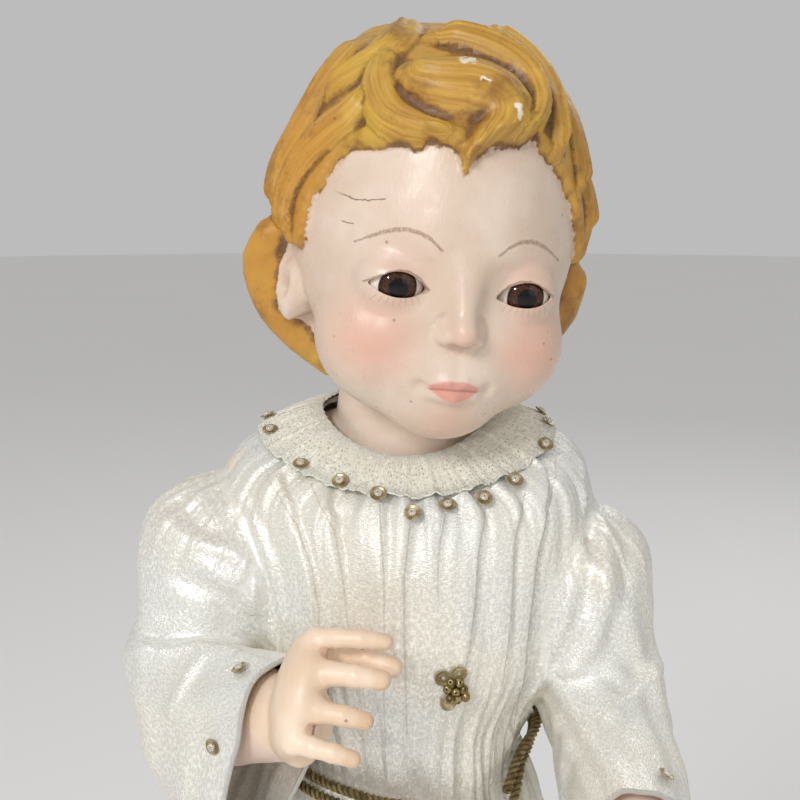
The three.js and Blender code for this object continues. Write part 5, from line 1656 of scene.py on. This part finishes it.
def collar_point(angle, t):
    """A flat tube: out over the top, round the outer edge, and back underneath."""
    under = t > 0.5
    share = np.where(under, 2 - 2 * t, 2 * t)
    inner = 0.05 * np.abs(np.sin(SCALLOPS / 2 * angle)) * (1 - share) ** 6
    outer = 0.10 * wander(0, 21, angle, 11) * share**5
    rings = ring_at(COLLAR, np.clip(share + inner + outer * 0.3, 0, 1))
    flat = ring_point(rings, angle)
    rows = share * COLLAR_DEPTH / STITCH
    loops = np.cos(2 * np.pi * rows) * 0.5 + 0.5
    knots = np.cos(KNOTS_ROUND * angle + np.pi * np.floor(rows))
    gather = 0.4 * wander(0, 22, angle, 23) * share**0.7 + 0.25 * wander(0, 23, angle, 9) * share
    height = LACE * (1 - 0.7 * share**4) + 0.05 * loops * (0.6 + 0.4 * knots) + gather
    lifted = np.where(under, gather, height)
    out = np.where(under, 0.0, 0.06 * knots)
    point = ring_point(rings, angle, out)
    point[:, 2] = flat[:, 2] + lifted
    return point


collar_mesh = tube("collar", 480, 180, collar_point, capped=False)
print("collar:", len(collar_mesh.polygons), "faces")

# %% The crocheted cotton
crochet, tree, shader, here = finish("crocheted_cotton", Roughness=0.8, Sheen_Weight=0.3)
uv = put(tree, "UVMap", uv_map="UVMap").outputs[0]
flat = placed(tree, uv, (240, 36, 1))
fibres = noise(tree, placed(tree, flat, (3.2, 2.0, 1)), 1.0, 4.0, 0.6)
shake = put(tree, "TexNoise", {"Vector": flat, "Scale": 0.9}).outputs["Color"]
shaken = vector_maths(tree, "ADD", flat, vector_maths(tree, "MULTIPLY", shake, (0.7, 0.7, 0)))
cells = placed(tree, shaken, (1.05, 1.1, 1))
loop = put(tree, "TexVoronoi", {"Vector": cells, "Scale": 1.0, "Randomness": 0.4})
shaded_hole = between(tree, loop.outputs["Distance"], 0.32, 0.14)
fine_cells = placed(tree, shaken, (2.6, 2.6, 1))
ply = put(tree, "TexVoronoi", {"Vector": fine_cells, "Scale": 1.0}, feature="DISTANCE_TO_EDGE")
strand = between(tree, ply.outputs["Distance"], 0.0, 0.28)
yarn = mixed(tree, between(tree, fibres, 0.35, 0.65), colour(246, 242, 222), colour(254, 252, 240))
# Painted shade: the holes of the crochet are painted dark beige, for the shade inside them.
yarn = stained(tree, yarn, shaded_hole, 0.6, colour(196, 178, 146))
# Dirt and painted shade: a faint brown in the hollows between the gathers.
soiled_and_shaded = grime_and_shade_mask(tree, here, attribute(tree, "sunk"), 120, 0.4)
yarn = stained(tree, yarn, soiled_and_shaded, 0.15, colour(214, 194, 160))
height = minus(tree, times(tree, strand, 0.6), shaded_hole)
height = plus(tree, height, times(tree, fibres, 0.4))
coated(tree, shader, yarn, normal=bump(tree, height, 0.0002))
COLLAR_FLAT = (0.24, 0.018)
cloth_piece("crocheted_collar", collar_mesh, crochet, COLLAR_FLAT, "lace_collar")

# %% The gold cord's line
CORD = 2.4
CORD_LIFT = CORD / 2 + GAP + 0.9
KNOT_ANGLE = -58 * DEGREE
KNOT_HALF = np.array([2.1, 1.1, 2.1]) * CORD
END_LENGTH, LEFT_SHARE = 66, 0.86  # how far an end hangs down, and the share of it that the left one does
WAIST_POINTS = 47


def round_waist(angle, up, lift=CORD_LIFT):
    height = cord_height(angle) + up
    rings = gown_ring(height)
    rings[:, 0] = height
    return ring_point(rings, angle, lift)


knot_centre = round_waist(np.array([KNOT_ANGLE]), 0, CORD_LIFT + CORD / 2 + 2 * GAP + KNOT_HALF[1])[0]
clear = (KNOT_HALF[0] + GAP + 0.6) / GOWN_WAIST[2]
share = np.arange(WAIST_POINTS) / (WAIST_POINTS - 1)
two_turns = KNOT_ANGLE + clear + (4 * np.pi - 2 * clear) * share
waist_line = round_waist(two_turns, (0.5 - share) * 2 * (CORD + GAP) * 1.1)


def end_line(side):
    start = knot_centre + [side * 1.6, 0, -KNOT_HALF[2] - GAP]
    step = np.arange(9) / 8
    drop = END_LENGTH * step * (1 if side < 0 else LEFT_SHARE)
    flare = gown_ring(start[2] - drop)[:, 2] - gown_ring(np.array([start[2]]))[0, 2]
    sideways = start[0] + side * 3.5 * soft_step(0, 1, step)
    return np.stack([sideways, start[1] - flare * 1.1, start[2] - drop], axis=1)


print("knot at", knot_centre.round(1), "mm")


# %% Twisted strands
def twisted(name, line, thick, steps, pitch=4.4, strands=3, sides=10):
    """A cord of strands that wind round its line; each strand is a tube of its own."""
    centre = smooth_line(line, steps + 1)
    ahead, across, upward = line_frames(centre)
    gone = np.concatenate([[0], np.cumsum(np.linalg.norm(np.diff(centre, axis=0), axis=1))])
    radius = thick * 0.27
    bm = bmesh.new()
    for strand in range(strands):
        turn = 2 * np.pi * (gone / pitch + strand / strands)
        way = across * np.cos(turn)[:, None] + upward * np.sin(turn)[:, None]
        core, side = centre + way * (thick / 2 - radius), np.cross(ahead, way)

        def strand_point(angle, t):
            i = (t * steps).round().astype(int)
            return core[i] + radius * (way[i] * np.cos(angle)[:, None] + side[i] * np.sin(angle)[:, None])

        bm.from_mesh(tube("strand", sides, steps, strand_point))
    return mesh_from(bm, name), gone[-1]


# %% The gold thread
gold, tree, shader, here = finish("gold_thread", Metallic=0.75, Sheen_Weight=0.1)
uv = put(tree, "UVMap", uv_map="UVMap").outputs[0]
wave = {"Vector": placed(tree, uv, (9.0, 60, 1)), "Scale": 1.2, "Distortion": 1.5, "Detail": 2.0}
wound = put(tree, "TexWave", wave).outputs[1]
tone = noise(tree, here, 500, 4.0, 0.6)
thread = mixed(tree, between(tree, tone, 0.35, 0.65), colour(150, 126, 66), colour(228, 202, 136))
thread = stained(tree, thread, wound, 0.35, colour(104, 80, 40))
# Painted shade: the side of each strand that faces the cord's middle, where the strands press together, is
# painted dark.
around_strand = put(tree, "SeparateXYZ", {0: uv}).outputs[0]
inner = between(tree, maths(tree, "ABSOLUTE", minus(tree, around_strand, 0.5)), 0.1, 0.3)
thread = stained(tree, thread, inner, 0.75, colour(62, 48, 24))
coated(tree, shader, thread, between(tree, tone, 0.3, 0.7, 0.5, 0.32), bump(tree, wound, 0.00012))

# %% The cord and its two ends
CORD_PIECES = (("waist_cord_of_gold", waist_line, 1100, "waist_cord", "knot", "taut"),
               ("cord_end_of_gold_right", end_line(-1), 240, "cord_end_right", "bare", "hanging"),
               ("cord_end_of_gold_left", end_line(1), 210, "cord_end_left", "bare", "hanging"))
for name, line, steps, node, far_end, lay in CORD_PIECES:
    mesh, length = twisted(name, line, CORD, steps)
    cord = piece(name, mesh, gold, node)
    path = smooth_line(line, 60 if len(line) < 20 else 160) * MM
    print(f"  {name} is {length:.0f} mm long")

# %% The knot
out_way = np.array([math.cos(KNOT_ANGLE), math.sin(KNOT_ANGLE), 0])
side_way = np.array([-out_way[1], out_way[0], 0])
t = np.linspace(0, 2 * np.pi, 25)
bm = bmesh.new()
for tilt in (0.5, -0.5):
    flat = np.stack([3.3 * np.sin(t), 1.1 * np.sin(2 * t + tilt), 3.2 * np.cos(t)], axis=1)
    c, s = math.cos(tilt), math.sin(tilt)
    leaned = flat @ np.array([[c, 0, s], [0, 1, 0], [-s, 0, c]])
    line = knot_centre + leaned[:, :1] * side_way + leaned[:, 1:2] * out_way + leaned[:, 2:] * [0, 0, 1]
    bm.from_mesh(twisted("knot_loop", line, CORD, 120)[0])
piece("cord_knot_of_gold", mesh_from(bm, "knot"), gold, "cord_knot")

# %% [markdown]
# A sequin is a thin brass disc, dished by a punch, with a hole in the middle; a bead holds it down, and the
# thread goes up through the disc, round in the bead and back. Each is spun from its section and set down on
# the cloth where its solid is. The solid tells its place and the way it faces.

# %% Where the solids lie
def solid_points(node):
    made = bpy.data.objects[node]
    co = np.empty(len(made.data.vertices) * 3)
    made.data.vertices.foreach_get("co", co)
    points = np.c_[co.reshape(-1, 3), np.ones(len(co) // 3)] @ np.array(made.matrix_world).T
    return points[:, :3] / MM


def facing_of(node):
    """The middle of a small solid's flat underside and the way that it faces."""
    points = np.unique(solid_points(node).round(4), axis=0)
    middle = points.mean(axis=0)
    way = np.linalg.eigh(np.cov((points - middle).T))[1][:, 0]
    outwards = middle - [0, 0, middle[2]]
    if way @ outwards < 0:
        way = -way
    low = ((points - middle) @ way).min()
    return middle + way * low, way


# %% Forms spun from a section
def axes_along(way):
    side = np.cross([0, 0, 1.0], way)
    side /= np.linalg.norm(side)
    return np.stack([side, np.cross(way, side), way])


def spun(profile, segments, place, axes):
    """A form spun from its section, in millimetres, and set down at a place."""
    bm = bmesh.new()
    verts = [bm.verts.new((out, 0, up)) for out, up in profile]
    edges = [bm.edges.new(pair) for pair in zip(verts, verts[1:])]
    bmesh.ops.spin(bm, geom=verts + edges, cent=(0, 0, 0), axis=(0, 0, 1), angle=2 * math.pi, steps=segments,
                   use_merge=True)
    bmesh.ops.remove_doubles(bm, verts=bm.verts, dist=1e-4)
    bmesh.ops.recalc_face_normals(bm, faces=bm.faces)
    for vert in bm.verts:
        vert.co = Vector(place + np.array(vert.co) @ axes) * MM
    return bm


# %% Sequins, their beads and the chest rosette
DISC = [(0.4, 0.26), (0.7, 0.2), (1.1, 0.26), (1.45, 0.38), (1.74, 0.56), (1.78, 0.52), (1.5, 0.28),
        (1.1, 0.14), (0.7, 0.08), (0.4, 0.14), (0.4, 0.26)]
BEAD = [(0.2, 0.36), (0.5, 0.28), (0.78, 0.44), (0.9, 0.76), (0.78, 1.08), (0.5, 1.26), (0.2, 1.18),
        (0.2, 0.36)]
brass, tree, shader, here = finish("tarnished_brass", Metallic=0.55, Coat_Weight=0.3)
tarnish = noise(tree, here, 420, 5.0, 0.65)
tone = mixed(tree, between(tree, tarnish, 0.35, 0.62), colour(196, 184, 146), colour(140, 122, 82))
tone = mixed(tree, between(tree, noise(tree, here, 1300, 3.0), 0.6, 0.75, 0.0, 0.6), tone, colour(98, 78, 52))
coated(tree, shader, tone, between(tree, tarnish, 0.3, 0.7, 0.24, 0.5),
       bump(tree, noise(tree, here, 2600, 3.0), 0.00004))
glassy, tree, shader, here = finish("clear_glass_bead", Transmission_Weight=0.55, IOR=1.5, Coat_Weight=0.6)
milk = noise(tree, here, 900, 3.0)
pearly = mixed(tree, milk, colour(236, 226, 206), colour(252, 248, 238))
coated(tree, shader, pearly, between(tree, milk, 0.3, 0.7, 0.08, 0.2))
print("sections of", len(DISC), "and", len(BEAD), "points")

# %% The cloth that they lie on
SEARCH = 5  # a disc is let down from this far above its place, in millimetres

cloth_trees = []
for name in ("satin_gown_top", "crocheted_collar"):
    mesh = bpy.data.objects[name].data
    corners, faces = [v.co[:] for v in mesh.vertices], [p.vertices[:] for p in mesh.polygons]
    cloth_trees.append(BVHTree.FromPolygons(corners, faces))


def seated(place, way, reach):
    """A place moved along its way until a disc there lies on the highest cloth under it."""
    axes = axes_along(way)
    rises = []
    rounds = [(out, k * np.pi / 4) for out in (0.75 * reach, reach) for k in range(8)]
    for out, turn in [(0, 0), *rounds]:
        spot = place + out * (axes[0] * math.cos(turn) + axes[1] * math.sin(turn))
        for cloth in cloth_trees:
            hit = cloth.ray_cast(Vector(spot + SEARCH * way) * MM, Vector(-way), 9 * MM)
            if hit[0]:
                rises.append(SEARCH - hit[3] / MM)
    return place + way * (max(rises) if rises else 0)


# %% A sequin and its bead for every solid
LEAN = 0.22  # no sequin lies quite flat
DISC_STEPS, BEAD_STEPS = 40, 24

sequin_nodes = sorted(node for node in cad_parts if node.startswith("sequin_"))
for node in sequin_nodes:
    place, way = facing_of(node)
    axes = axes_along(way)
    place = seated(place, way, 2.0)
    lean = random.uniform(-LEAN, LEAN, 2)
    way = way + lean[0] * axes[0] + lean[1] * axes[1]
    axes = axes_along(way / np.linalg.norm(way))
    disc = mesh_from(spun(DISC, DISC_STEPS, place, axes), node)
    bead = mesh_from(spun(BEAD, BEAD_STEPS, place, axes), node + "_bead")
    piece(node.replace("sequin", "brass_sequin"), disc, brass, node)
    piece(node.replace("sequin", "glass_bead"), bead, glassy, node)

# %% The rosette of gilt beads on the chest
BEADS = [[0, 0], [-1.7, 0.6], [1.7, 0.4], [0.8, 1.9], [-1, 2], [0.5, -1.8], [-1.1, -1.6], [2.1, -1.3]]
DISCS = [[0.8, 3.7], [-1.3, -3.4], [-2.6, 2.7]]
place, way = facing_of("chest_ornament")
way = way - [0, 0, way[2] * 0.5]
way /= np.linalg.norm(way)
place, axes = seated(place, way, 2.5), axes_along(way)
gilt, tree, shader, here = finish("gilt_beads", Metallic=0.85)
worn = noise(tree, here, 700, 4.0, 0.6)
gilding = mixed(tree, between(tree, worn, 0.35, 0.62), colour(176, 158, 108), colour(104, 90, 56))
coated(tree, shader, gilding, between(tree, worn, 0.3, 0.7, 0.22, 0.45), bump(tree, worn, 0.00005))
ROUND = [(0.24, -1.0), (0.64, -0.85), (0.96, -0.4), (1.04, 0), (0.96, 0.4), (0.64, 0.85), (0.24, 1.0),
         (0.24, -1.0)]
bm = bmesh.new()
for number, (x, y) in enumerate(BEADS):
    spot = place + x * axes[0] + y * axes[1] + (1.6 if number == 0 else 1.3) * axes[2]
    hole_way = np.array([x + 0.3, -4, y + 0.2]) / 4
    bm.from_mesh(mesh_from(spun(ROUND, BEAD_STEPS, spot, axes_along(hole_way)), "bead"))
piece("chest_rosette_beads", mesh_from(bm, "rosette"), gilt, "chest_ornament")
bm = bmesh.new()
for x, y in DISCS:
    spot = seated(place + x * axes[0] + y * axes[1], axes[2], 1.6)
    bm.from_mesh(mesh_from(spun(DISC, DISC_STEPS, spot, axes), "disc"))
piece("chest_rosette_sequins", mesh_from(bm, "rosette_discs"), brass, "chest_ornament")

# %% [markdown]
# The base is turned from walnut on a lathe: a torus-like foot, a hollow and a bead, finished with wax. The
# rings of the wood show on its top, and long grain on its side.

# %% The turned base
RADIUS, HEIGHT = 80, 24
profile = [(0, 0), (0.97, 0), (0.995, 0.02), (1, 0.06), (1, 0.2), (0.985, 0.25), (0.965, 0.33), (0.942, 0.45),
           (0.932, 0.58), (0.936, 0.68), (0.95, 0.73), (0.955, 0.8), (0.95, 0.88), (0.936, 0.95),
           (0.915, 1.0), (0, 1)]
section = [(out * RADIUS, up * HEIGHT) for out, up in profile]
base_mesh = mesh_from(spun(section, 160, np.zeros(3), np.eye(3)), "turned_base")
wood, tree, shader, here = finish("waxed_walnut", Coat_Weight=0.25, Coat_Roughness=0.3)
wave = {"Vector": placed(tree, here, (10, 42, 42)), "Scale": 1.0, "Distortion": 6.0, "Detail": 4.0}
rings_of_wood = put(tree, "TexWave", {**wave, "Detail Scale": 1.6}).outputs[1]
pores = noise(tree, placed(tree, here, (60, 900, 900)), 1.0, 4.0, 0.6)
wooden = mixed(tree, rings_of_wood, colour(64, 38, 22), colour(112, 72, 42))
wooden = mixed(tree, between(tree, pores, 0.55, 0.7, 0.0, 0.7), wooden, colour(38, 22, 14))
coated(tree, shader, wooden, between(tree, pores, 0.3, 0.7, 0.3, 0.5), bump(tree, pores, 0.00015))
piece("walnut_base", base_mesh, wood, "turned_base")
